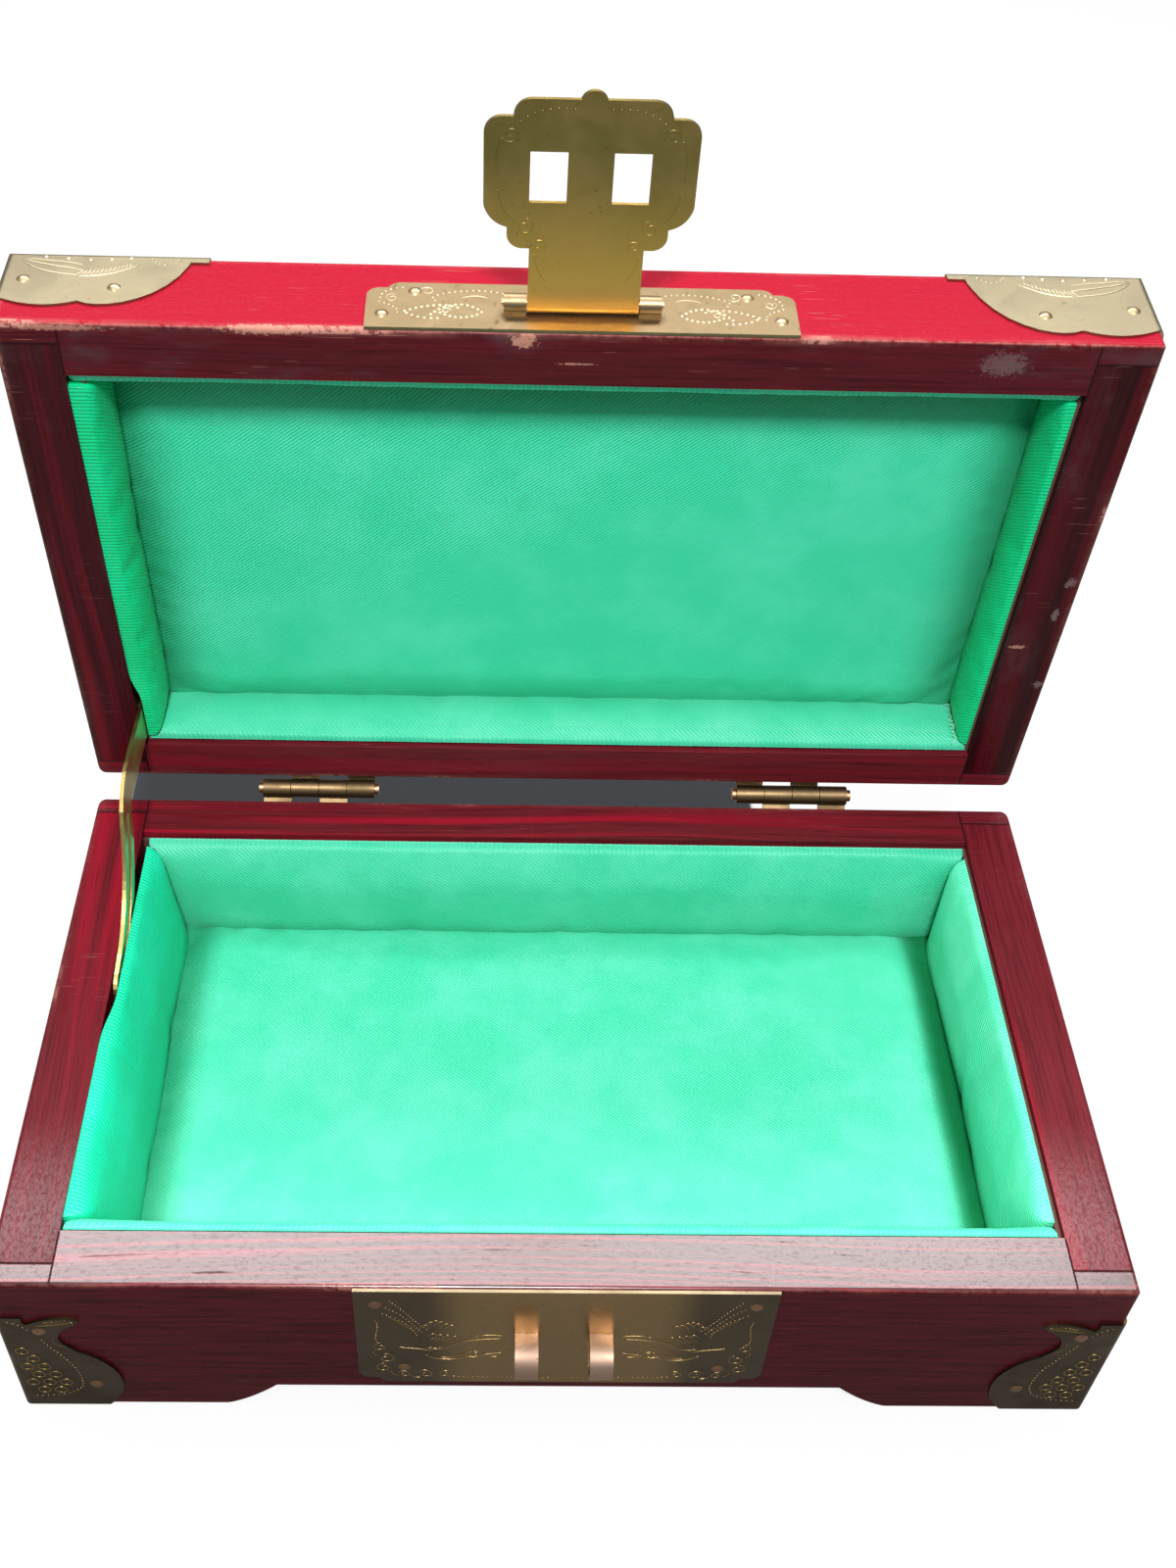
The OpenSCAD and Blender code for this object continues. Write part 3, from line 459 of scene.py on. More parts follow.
def lacquer_material(name, on_lid, along_y, seed, across=1.0, lines=5.0, streaks=0.5, tone=1.0,
                     bloom=0.2, face=None, face_painted_light=0.0, shine=0.3, film=0.6, front_film=0.0,
                     glare=0.45, wear=0.4, nicks=()):
    """Lacquered wood.

    face is (axis, sign), a side with no film; the next argument sets its brightness, which is painted light
    on
    the lacquer's own colour. front_film adds film towards the box's front. nicks are worn patches:
    (middle, radii, strength, colour).
    """
    s = settings().lacquer
    material, n, shader = new_material(name)
    place = rest_place(n, on_lid)
    normal = n.split(rest_normal(n, on_lid))
    x, y, z = n.split(place)[:3]
    lengthwise = n.join(y, x, z) if along_y else place
    grain = n.group(shared("grain"), {"Vector": lengthwise, "Across": s.streaks * across,
                                       "Lines": s.streaks * lines, "Seed": seed})
    low, high = (LID_LOW.z, LID_TOP) if on_lid else (0.0, BASE_TOP)
    edge = n.group(shared("edge"), {
        "Vector": place, "Middle": (0, MID_Y, (low + high) / 2),
        "Half": (HALF_W, HALF_D, (high - low) / 2), "Reach": s.wear_reach, "Seed": seed})
    toward = 0.0
    lift = n.times(grain["Streak"], streaks)
    # painted light: the face's brightness stands for how that side faces the light, on top of the lacquer's
    # colour
    if face is not None:
        axis, sign = face
        toward = n.fade(n.times(normal[axis], sign), 0.4, 0.9)
        bright = n.plus(n.times(grain["Fine"], 0.22), face_painted_light - 0.11)
        lift = n.plus(n.times(lift, n.rest(toward)), n.times(bright, toward))
    dull = tuple([c * 0.60 * tone for c in s.maroon[:3]] + [1])
    full = tuple([c * 1.10 * tone for c in s.maroon[:3]] + [1])
    color = n.mix(n.fade(grain["Fine"], 0.25, 0.60), dull, full)
    color = n.mix(n.most(0.0, n.least(lift, 1.0)), color, s.crimson)
    color = n.mix(n.times(grain["Pores"], 0.5), color, s.deep)
    # a dull bloom where hands have polished the lacquer
    haze = n.fade(n.noise(n.vector("MULTIPLY", lengthwise, (0.5, 1.0, 1.0)), 95.0, 3.0, 0.7), 0.52, 0.76)
    haze = n.times(n.times(haze, n.rest(toward)), bloom)
    color = n.mix(haze, color, (0.075, 0.045, 0.055, 1))
    # board joints at the laps, seen on the rims
    seam_y = n.absolute(n.minus(n.absolute(n.minus(y, MID_Y)), abs(LAP_Y - MID_Y)))
    seam_x = n.absolute(n.minus(n.absolute(x), SIDE_IN))
    outer = n.fade(n.absolute(x), SIDE_IN - 0.0003, SIDE_IN)
    ahead = n.fade(n.absolute(n.minus(y, MID_Y)), HALF_D - 0.011, HALF_D - 0.0105)
    seam = n.most(n.times(n.rest(n.fade(seam_y, 0.0001, 0.0004)), outer),
                  n.times(n.rest(n.fade(seam_x, 0.0001, 0.0003)), ahead))
    seam = n.times(seam, n.rest(n.absolute(normal[1])))
    color = n.mix(n.times(seam, 0.8), color, s.deep)
    color = n.mix(n.times(edge["Rub"], 0.35 * wear), color, s.bare)
    color = n.mix(n.times(edge["Line"], 0.55 * wear), color, s.bare)
    color = n.mix(n.times(edge["Scratches"], 0.5 * wear), color, s.bare)
    chips = n.times(edge["Chips"], wear)
    color = n.mix(chips, color, s.bare)
    for middle, radii, strength, tint in nicks:
        away = n.vector("DIVIDE", n.vector("SUBTRACT", place, middle), radii)
        far = n.add("ShaderNodeVectorMath", {0: away}, operation="LENGTH").outputs["Value"]
        far = n.plus(far, n.times(n.noise(place, 900.0, 3.0, 0.8), 2.2))
        nick = n.times(n.rest(n.fade(far, 1.55, 2.00)), strength)
        color = n.mix(nick, color, tint)
        chips = n.most(chips, nick)
    n.feed(shader["Base Color"], color)
    peel = n.noise(n.vector("MULTIPLY", lengthwise, (0.55, 1.0, 1.0)), 1900.0, 2.0, 0.6, 0.8)
    n.feed(shader["Roughness"], n.plus(0.30, n.times(edge["Rub"], 0.3)))
    gaps = n.most(n.most(chips, seam), n.times(grain["Pores"], 0.75))
    gloss = n.times(n.plus(glare, n.times(n.fade(peel, 0.36, 0.58), 0.75)), n.rest(gaps))
    gloss = n.times(gloss, n.rest(toward))
    ahead = n.fade(n.times(y, -1.0), 0.030, 0.058)
    film = n.plus(film, n.times(ahead, front_film))
    n.feed(shader["Coat Weight"], n.times(gloss, film, clamp=True))
    shader["Coat Roughness"].default_value = 0.20
    shader["Specular IOR Level"].default_value = shine
    relief = n.plus(n.times(grain["Height"], 0.6), n.times(peel, 0.9))
    relief = n.minus(relief, n.times(n.plus(chips, seam), 1.2))
    n.feed(shader["Normal"], bump(n, relief, 0.45, 0.00016))
    return material


def brass_material(name, color, seed, aged=0.5, rough=0.30, on_lid=False, warm=None, dull_top=False):
    """Aged sheet brass.

    warm is (colour, axis, start, end): a tint that fades in along an axis. dull_top greys the top edge.
    """
    material, n, shader = new_material(name)
    place = rest_place(n, on_lid)
    tarnish = n.group(shared("tarnish"), {"Vector": place, "Seed": seed})
    base = n.mix(n.times(tarnish["Cloud"], aged), tuple(color),
                 tuple([c * f for c, f in zip(color[:3], (0.55, 0.56, 0.50))] + [1]))
    if warm is not None:
        tint, axis, start, end = warm
        where = n.add("ShaderNodeTexCoord").outputs["Object"]
        at = n.split(where)[axis]
        at = n.absolute(at) if axis == 0 else at
        base = n.mix(n.fade(at, start, end), base, tint)
    base = n.mix(n.times(tarnish["Specks"], 0.55 * aged), base, (0.06, 0.035, 0.015, 1))
    grain = n.plus(n.times(tarnish["Cloud"], 0.14), n.times(tarnish["Specks"], 0.25))
    if dull_top:
        top = n.fade(n.split(rest_normal(n, on_lid))[2], 0.4, 0.9)
        base = n.mix(top, base, (0.36, 0.28, 0.18, 1))
        grain = n.plus(grain, n.times(top, 0.35))
    n.feed(shader["Base Color"], base)
    shader["Metallic"].default_value = 1.0
    n.feed(shader["Roughness"], n.plus(rough, grain))
    n.feed(shader["Normal"], bump(n, tarnish["Height"], 0.25, 0.00006))
    return material


def satin_material(name, painted_light_of):
    """Green satin twill with a painted sheen; its second argument multiplies the lining's colour as painted
    light and shade for each pad's place.
    """
    s = settings().lining
    satin = tuple(c * f for c, f in zip(s.satin[:3], painted_light_of))
    material, n, shader = new_material(name)
    lay = n.add("ShaderNodeAttribute", attribute_name="cloth_lay").outputs["Vector"]
    weave = n.group(shared("twill"), {"Vector": lay, "Pitch": s.twill})
    dark = (satin[0] * 0.45, satin[1] * 0.74, satin[2] * 0.66, 1)
    light = (min(1, satin[0] * 2.0), min(1, satin[1] * 1.06), min(1, satin[2] * 1.18), 1)
    color = n.mix(weave["Shade"], dark, satin + (1,))
    # painted sheen: a lighter, whiter satin colour is mixed in where the twill's cloud is high
    color = n.mix(n.times(n.fade(weave["Pull"], 0.35, 0.75), 0.35), color, light)
    # painted shade: the satin's colour darkens near a pad's sides, for the shade in its seams and under the
    # lid's front wall
    hollow = n.add("ShaderNodeAttribute", attribute_name="hollow").outputs["Fac"]
    color = n.mix(hollow, color, (0.0015, 0.17, 0.055, 1))
    n.feed(shader["Base Color"], color)
    shader["Roughness"].default_value = 0.38
    shader["Sheen Weight"].default_value = 0.05
    shader["Sheen Roughness"].default_value = 0.35
    shader["Sheen Tint"].default_value = (0.75, 1.0, 0.9, 1)
    shader["Specular IOR Level"].default_value = 0.34
    n.feed(shader["Normal"], bump(n, weave["Height"], 0.60, 0.00017))
    return material


def card_material():
    """Brown card behind the pads."""
    material, n, shader = new_material("lining_card")
    place = rest_place(n, False)
    fibre = n.noise(place, 700.0, 4.0, 0.7)
    n.feed(shader["Base Color"], n.mix(fibre, (0.05, 0.02, 0.015, 1), (0.16, 0.07, 0.05, 1)))
    shader["Roughness"].default_value = 0.9
    n.feed(shader["Normal"], bump(n, fibre, 0.4, 0.0001))
    return material


# ---------- Mesh helpers ----------

def bezier(a, b, c, d, steps=14):
    """Points of a curve from a to d, drawn towards b and c."""
    a, b, c, d = (np.array(p, float) for p in (a, b, c, d))
    t = np.linspace(0, 1, steps + 1)[:, None]
    s = 1 - t
    return s ** 3 * a + 3 * s * s * t * b + 3 * s * t * t * c + t ** 3 * d


def spiral(middle, outer, inner, start, turns, steps=22):
    """A scroll that winds in from outer to inner, start in degrees."""
    t = np.linspace(0, 1, steps + 1)
    angle = math.radians(start) + t * turns * 2 * math.pi
    radius = outer + (inner - outer) * t
    return np.c_[middle[0] + radius * np.cos(angle), middle[1] + radius * np.sin(angle)]


def evenly(line, pitch):
    """Points along a line, pitch apart."""
    line = np.asarray(line, float)
    steps = np.hypot(*np.diff(line, axis=0).T)
    along = np.r_[0, np.cumsum(steps)]
    count = max(1, int(round(along[-1] / pitch)))
    at = np.linspace(0, along[-1], count + 1)
    return np.c_[np.interp(at, along, line[:, 0]), np.interp(at, along, line[:, 1])]


def grid_faces(rows, columns):
    """Quads over points laid out row by row."""
    return [(r * columns + c, r * columns + c + 1, (r + 1) * columns + c + 1, (r + 1) * columns + c)
            for r in range(rows - 1) for c in range(columns - 1)]


def mesh_object(name, verts, faces, material, body):
    """A smooth mesh that rides on a body."""
    mesh = bpy.data.meshes.new(name)
    mesh.from_pydata([tuple(v) for v in verts], [], faces)
    mesh.validate()
    mesh.polygons.foreach_set("use_smooth", [True] * len(mesh.polygons))
    mesh.materials.append(material)
    obj = bpy.data.objects.new(name, mesh)
    bpy.context.scene.collection.objects.link(obj)
    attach(obj, body)
    return obj


class Relief:
    """Pressed lines, dots and rings on a sheet. place(u, v, h) gives the point, in millimetres."""

    SINK = 0.06

    def __init__(self, place):
        self.place = place
        self.verts = []
        self.faces = []
        s = settings().brass
        self.width = s.line_width / MM
        self.height = s.line_height / MM
        self.dot_r = s.dot_radius / MM
        self.pitch = s.dot_pitch / MM

    def put(self, u, v, h):
        self.verts.append(self.place(u, v, h))
        return len(self.verts) - 1

    def line(self, points, width=1.0, height=1.0, ring=False):
        """A half-round ridge along points; its ends taper unless it is a ring."""
        points = np.asarray(points, float)
        if ring:
            points = points[:-1]
        n = len(points)
        half = self.width * width / 2
        top = self.height * height
        section = [(-1, -self.SINK / top), (-0.72, 0.62), (0, 1), (0.72, 0.62), (1, -self.SINK / top)]
        rows = []
        for i in range(n):
            before = points[i - 1] if i or ring else points[0]
            after = points[(i + 1) % n] if i < n - 1 or ring else points[-1]
            way = (after - before) / (np.hypot(*(after - before)) or 1)
            side = np.array([-way[1], way[0]])
            edge = 1.0 if ring else min(1.0, 0.25 + 0.9 * min(i, n - 1 - i) / max(2, n / 6))
            rows.append([self.put(*(points[i] + side * half * a * edge), top * b * (edge if b > 0 else 1))
                         for a, b in section])
        k = len(section)
        for i in range(n if ring else n - 1):
            a, b = rows[i], rows[(i + 1) % n]
            for j in range(k):
                self.faces.append((a[j], a[(j + 1) % k], b[(j + 1) % k], b[j]))
        if not ring:
            self.faces.append(tuple(reversed(rows[0])))
            self.faces.append(tuple(rows[-1]))

    def dot(self, u, v, radius=1.0, height=1.0, sides=8):
        r = self.dot_r * radius
        top = self.dot_r * 0.6 * height
        rings = []
        for share, level in ((1.0, -self.SINK), (0.95, 0.25 * top), (0.62, 0.8 * top)):
            rings.append([self.put(u + r * share * math.cos(2 * math.pi * k / sides),
                                   v + r * share * math.sin(2 * math.pi * k / sides), level)
                          for k in range(sides)])
        peak = self.put(u, v, top)
        for a, b in zip(rings, rings[1:]):
            for k in range(sides):
                self.faces.append((a[k], a[(k + 1) % sides], b[(k + 1) % sides], b[k]))
        for k in range(sides):
            self.faces.append((rings[-1][k], rings[-1][(k + 1) % sides], peak))
        self.faces.append(tuple(reversed(rings[0])))

    def dots(self, line, radius=1.0, pitch=1.0):
        for u, v in evenly(line, self.pitch * pitch):
            self.dot(u, v, radius)

    def ring(self, u, v, radius, width=1.0, height=1.0):
        t = np.linspace(0, 2 * math.pi, 15)
        self.line(np.c_[u + radius * np.cos(t), v + radius * np.sin(t)], width, height, ring=True)

    def strokes(self, spine, length, lean, count, width=0.7):
        """Short strokes beside a line, leaning by lean degrees from it."""
        line = evenly(spine, np.hypot(*np.diff(np.asarray(spine), axis=0).T).sum() / count)
        for a, b in zip(line, line[1:]):
            way = math.atan2(*(b - a)[::-1]) + math.radians(lean)
            tip = a + length * np.array([math.cos(way), math.sin(way)])
            bow = (a + tip) / 2 + 0.12 * length * np.array([-math.sin(way), math.cos(way)])
            self.line(bezier(a, bow, bow, tip, 5), width, 0.8)

    def build(self, name, material, body):
        return mesh_object(name, self.verts, self.faces, material, body)


# ---------- Boards ----------

MATERIALS = {}


def finish(node, material):
    """Give a node of the frame its material."""
    obj = frame["nodes"][node]
    obj.data.materials.clear()
    obj.data.materials.append(material)


class JEWELRYBOX_OT_boards(bpy.types.Operator):
    """Give the boards and panels their streaked lacquer"""
    bl_idname = "jewelry_box.boards"
    bl_label = "Lacquer Boards"

    def execute(self, context):
        front = (1, -1)
        raw, grey = (0.50, 0.23, 0.17, 1), (0.26, 0.19, 0.19, 1)
        lid_edge = LID_LOW.z
        front_nicks = (
            ((-0.0101, FRONT_Y + 0.0014, lid_edge), (0.0030, 0.0019, 0.0020), 0.9, raw),
            ((-0.0540, FRONT_Y + 0.0004, lid_edge), (0.0105, 0.0012, 0.0012), 0.85, raw),
            ((0.0740, FRONT_Y + 0.0045, lid_edge), (0.0055, 0.0032, 0.0020), 0.30, grey),
            ((-0.0010, FRONT_Y + 0.0062, lid_edge), (0.0040, 0.0003, 0.0020), 0.7, raw),
            ((-0.0900, FRONT_Y + 0.0009, lid_edge), (0.0100, 0.0007, 0.0012), 0.6, raw))
        side_nicks = (
            ((0.0993, -0.012, lid_edge), (0.0012, 0.0018, 0.0015), 0.45, grey),
            ((0.0985, -0.003, lid_edge), (0.0010, 0.0022, 0.0015), 0.45, grey),
            ((0.1000, 0.017, lid_edge), (0.0014, 0.0012, 0.0015), 0.45, grey),
            ((0.0930, 0.006, lid_edge), (0.0022, 0.0006, 0.0015), 0.7, raw))
        # the front boards' face brightness is painted light: bright crimson on the lid's front, which faces
        # up when open, and dark on the base's front
        plans = {
            "base_front_board": dict(along_y=False, seed=1.3, across=4.4, lines=3.0, streaks=0.46, tone=0.85,
                                     bloom=0.20, face=front, face_painted_light=0.015, shine=0.05, film=1.0,
                                     glare=0.72, wear=0.3),
            "base_back_board": dict(along_y=False, seed=7.7, across=0.9, streaks=0.80, tone=2.0, bloom=0.05,
                                    film=0.1, shine=0.12),
            "base_left_board": dict(along_y=True, seed=12.1, across=0.60, streaks=0.60, tone=1.75, bloom=0.05,
                                    film=0.02, front_film=0.26, shine=0.02),
            "base_right_board": dict(along_y=True, seed=23.9, across=0.50, streaks=1.2, tone=2.1, bloom=0.05,
                                     film=0.02, front_film=0.30, shine=0.02),
            "base_bottom_panel": dict(along_y=False, seed=31.0, streaks=0.1),
            "lid_front_board": dict(along_y=False, seed=3.1, across=0.9, streaks=0.06, tone=1.25, bloom=0.5,
                                    face=front, face_painted_light=0.86, shine=0.08, film=0.1, wear=1.0,
                                    nicks=front_nicks),
            "lid_back_board": dict(along_y=False, seed=9.4, across=0.8, streaks=0.28, tone=2.0, bloom=0.1,
                                   film=0.1, shine=0.1, wear=0.5),
            "lid_left_board": dict(along_y=True, seed=15.2, across=0.8, streaks=0.30, tone=0.65, bloom=0.2,
                                   film=0.05, shine=0.12, wear=0.5),
            "lid_right_board": dict(along_y=True, seed=27.7, across=0.8, streaks=0.12, tone=0.45, bloom=0.30,
                                    film=0.05, shine=0.12, wear=0.8, nicks=side_nicks),
            "lid_top_panel": dict(along_y=False, seed=41.6, across=0.8, streaks=0.5, tone=1.4)}
        for node, plan in plans.items():
            finish(node, lacquer_material("lacquer_" + node, node.startswith("lid"), **plan))
        return {"FINISHED"}


# ---------- Brass fittings ----------

FITTING_BRASS = {
    "plate": ("hasp_plate_brass", (0.28, 0.205, 0.115, 1), 5.0, dict(aged=0.4, rough=0.40, on_lid=True)),
    # painted shade: the lock plate's colour is set darker than its tarnish alone, for the dark floor its
    # front mirrors
    "lock": ("lock_plate_brass", (0.105, 0.073, 0.032, 1), 11.0,
             dict(aged=0.5, rough=0.17, warm=((0.30, 0.195, 0.075, 1), 0, 0.0255, 0.0165), dull_top=True)),
    "staple": ("staple_brass", (0.40, 0.275, 0.205, 1), 17.0, dict(aged=0.35, rough=0.46)),
    "hinge": ("hinge_brass", (0.20, 0.135, 0.07, 1), 20.0, dict(aged=0.7, rough=0.42)),
    "nail": ("nail_brass", (0.50, 0.36, 0.21, 1), 23.0, dict(aged=0.4, rough=0.30)),
    "dark_nail": ("copper_nail", (0.28, 0.165, 0.095, 1), 24.0, dict(aged=0.5, rough=0.34)),
    "stay": ("stay_brass", (0.62, 0.48, 0.18, 1), 26.0, dict(aged=0.35, rough=0.28)),
    "lines": ("worn_line_brass", (0.36, 0.25, 0.12, 1), 33.0, dict(aged=0.3, rough=0.34)),
    "pale_lines": ("worn_pale_brass", (0.62, 0.54, 0.38, 1), 35.0, dict(aged=0.2, rough=0.34, on_lid=True)),
    "fruit_lines": ("worn_dark_brass", (0.27, 0.19, 0.085, 1), 37.0, dict(aged=0.4, rough=0.36)),
}
HASP_GOLD = (0.80, 0.46, 0.11, 1)
HASP_GOLD_RISE = 0.030  # how far up the hasp the golden tint reaches

# the first pattern that a node's name fits gives its finish
FITTING_FINISHES = (
    ("*lining_cards", "card"), ("hasp", "hasp"), ("lid_stay", "stay"), ("*pin", "pin"),
    ("base_corner_nails", "dark_nail"), ("lock_plate_nails", "dark_nail"), ("*nail*", "nail"),
    ("*hinge*", "hinge"), ("staple*", "staple"), ("lock_plate", "lock"), ("hasp_plate", "plate"),
    ("base_corner*", "dark"), ("lid_corner*", "pale"))


class JEWELRYBOX_OT_fittings(bpy.types.Operator):
    """Give the brass fittings, nails, pins and cards their finishes"""
    bl_idname = "jewelry_box.fittings"
    bl_label = "Finish Fittings"

    def execute(self, context):
        s = settings().brass
        pale, dark, bronze, copper = (tuple(c) for c in (s.pale, s.dark, s.bronze, s.copper))
        m = MATERIALS
        m["pale"] = brass_material("pale_brass", pale, 2.0, aged=0.45, rough=0.34, on_lid=True)
        m["dark"] = brass_material("dark_brass", dark, 8.0, aged=0.6, rough=0.36)
        m["hasp"] = brass_material("hasp_brass", bronze, 14.0, aged=0.55, rough=0.33,
                                   warm=(HASP_GOLD, 2, HASP_PIN.z + HASP_GOLD_RISE, HASP_PIN.z - 0.002))
        m["pin"] = brass_material("copper_pin", copper, 29.0, aged=0.4, rough=0.32)
        m["card"] = card_material()
        for key, (name, color, seed, look) in FITTING_BRASS.items():
            m[key] = brass_material(name, color, seed, **look)
        for node in frame["nodes"]:
            for pattern, key in FITTING_FINISHES:
                if fnmatchcase(node, pattern):
                    finish(node, m[key])
                    break
        return {"FINISHED"}


# ---------- Pressed ornament ----------

def face_place(thick, on_lid):
    """u along X from the middle, v up from the floor, on the box's front."""
    move = opened if on_lid else stay_put

    def place(u, v, h):
        return move((u * MM, FRONT_Y - thick - h * MM, v * MM))
    return place


def corner_place(leaf, side, end, thick, on_lid):
    """u inwards from the upright edge, v up from the floor or down from the lid's top."""
    move = opened if on_lid else stay_put
    face_y = FRONT_Y if end < 0 else BACK_Y

    def place(u, v, h):
        u, v, h = u * MM, v * MM, h * MM
        level = LID_TOP - v if on_lid else v
        if leaf == "long":
            return move((side * (HALF_W - u), face_y + end * (thick + h), level))
        if leaf == "side":
            return move((side * (HALF_W + thick + h), face_y - end * u, level))
        return move((side * (HALF_W - u), face_y - end * v, LID_TOP + thick + h))
    return place


def flip(points, sign):
    """Points mirrored to the side that sign names."""
    return [(sign * p[0], p[1]) for p in points]


class JEWELRYBOX_OT_lock_plate(bpy.types.Operator):
    """Press birds, scrolls and a dotted border into the lock plate"""
    bl_idname = "jewelry_box.lock_plate"
    bl_label = "Lock Plate Ornament"

    def execute(self, context):
        r = Relief(face_place(PLATE_T, False))
        for s in (-1, 1):
            def b(*p, steps=16):
                return bezier(*flip(p, s), steps=steps)
            # back and wing streak towards the middle
            r.line(b((24.8, 24.6), (21.2, 22.8), (19.0, 27.6), (15.4, 29.2)), 0.95)
            r.line(b((15.4, 29.2), (14.0, 29.8), (12.4, 29.6), (10.4, 29.2)), 0.9)
            r.line(b((20.6, 25.4), (19.0, 27.0), (17.0, 28.0), (10.8, 28.3)), 0.75)
            # breast, head and beak
            r.line(b((29.9, 24.9), (28.2, 24.2), (26.2, 24.6), (23.6, 23.3)), 0.95)
            r.line(b((25.2, 21.9), (22.6, 19.4), (19.6, 20.0), (17.4, 21.4)), 0.95)
            r.line(b((22.6, 21.0), (20.4, 20.6), (18.6, 22.4), (16.6, 23.2)), 0.8)
            r.line(b((17.4, 21.4), (16.4, 20.9), (15.4, 21.2), (14.4, 22.0)), 0.95)
            r.line(b((16.6, 23.2), (15.6, 23.5), (14.9, 23.0), (14.2, 22.4)), 0.95)
            r.ring(s * 15.9, 22.3, 0.62, 0.7)
            r.line(b((14.4, 22.4), (13.2, 22.3), (12.4, 22.7), (11.0, 22.9)), 0.75)
            r.line(b((14.2, 21.9), (13.4, 21.4), (12.6, 21.3), (11.9, 21.4)), 0.7)
            # feathers: scallops along the raised wing, and hatching below them
            for k in range(6):
                u, v = 24.9 - 0.95 * k, 29.4 + 1.15 * math.sin(0.9 * k) + 0.25 * k
                r.line(b((u + 1.5, v + 1.6), (u + 0.8, v + 4.6), (u - 0.9, v + 4.4), (u - 0.6, v + 1.9),
                         steps=10), 0.7)
            for k in range(4):
                u, v = 23.8 - 1.3 * k, 28.2 - 0.3 * k
                r.line(b((u + 0.9, v + 0.5), (u + 0.3, v + 2.3), (u - 0.8, v + 2.2), (u - 0.8, v + 0.6),
                         steps=8), 0.65)
            r.strokes(b((24.6, 27.4), (22, 26.0), (20, 26.6), (18.0, 28.2)), 1.5, -s * 70, 10, 0.6)
            r.strokes(b((24.8, 24.4), (22.6, 23.4), (21.4, 23.4), (20.0, 24.4)), 1.1, -s * 60, 6, 0.55)
            # tail plumes
            for k in range(3):
                r.dots(b((24.8 + 0.9 * k, 31.6 - 1.1 * k), (27, 34.4 - 1.6 * k), (28.6, 38.4 - 1.8 * k),
                         (31.2 + 0.7 * k, 41.8 - 2.3 * k)), 0.62, 0.85)
            r.line(b((26.2, 30.0), (28.2, 32.2), (29.8, 34.6), (31.6, 36.2)), 0.65)
            r.strokes(b((26.0, 30.4), (28, 32.8), (29.2, 34.6), (30.4, 36.2)), 1.0, s * 20, 7, 0.5)
            # dotted border and scrolls
            r.dots(b((33.9, 34.6), (33.0, 32), (34.6, 29.0), (33.9, 26.6)), 0.62, 0.8)
            r.line(spiral((s * 33.3, 24.9), 1.45, 0.3, 90, -1.2 * s), 0.75)
            r.line(spiral((s * 32.4, 20.5), 1.75, 0.35, 110, 1.25 * s), 0.85)
            r.line(spiral((s * 32.9, 16.9), 1.55, 0.35, 80, -1.2 * s), 0.8)
            r.line(b((34.2, 23.6), (35.0, 22.6), (34.6, 21.8), (33.8, 21.6)), 0.75)
            r.line(spiral((s * 29.2, 14.3), 1.3, 0.3, 20 if s > 0 else 160, 1.15 * s), 0.8)
            r.line(spiral((s * 25.2, 14.4), 1.65, 0.3, 0 if s > 0 else 180, 1.3 * s), 0.85)
            r.line(spiral((s * 21.6, 14.5), 1.4, 0.3, 180 if s > 0 else 0, -1.25 * s), 0.8)
            r.line(b((31.8, 15.3), (31.0, 14.2), (30.8, 13.8), (30.4, 13.9)), 0.75)
            r.line(b((27.9, 13.6), (27.4, 13.0), (26.9, 12.9), (26.2, 13.0)), 0.7)
            r.dots(b((20.0, 13.5), (16, 12.8), (13, 13.8), (10.0, 13.2)), 0.62, 0.9)
            r.dots(b((9.2, 13.2), (6, 12.8), (4, 12.9), (1.4, 12.9)), 0.55, 0.95)
        r.build("lock_plate_ornament", MATERIALS["lines"], "base")
        return {"FINISHED"}


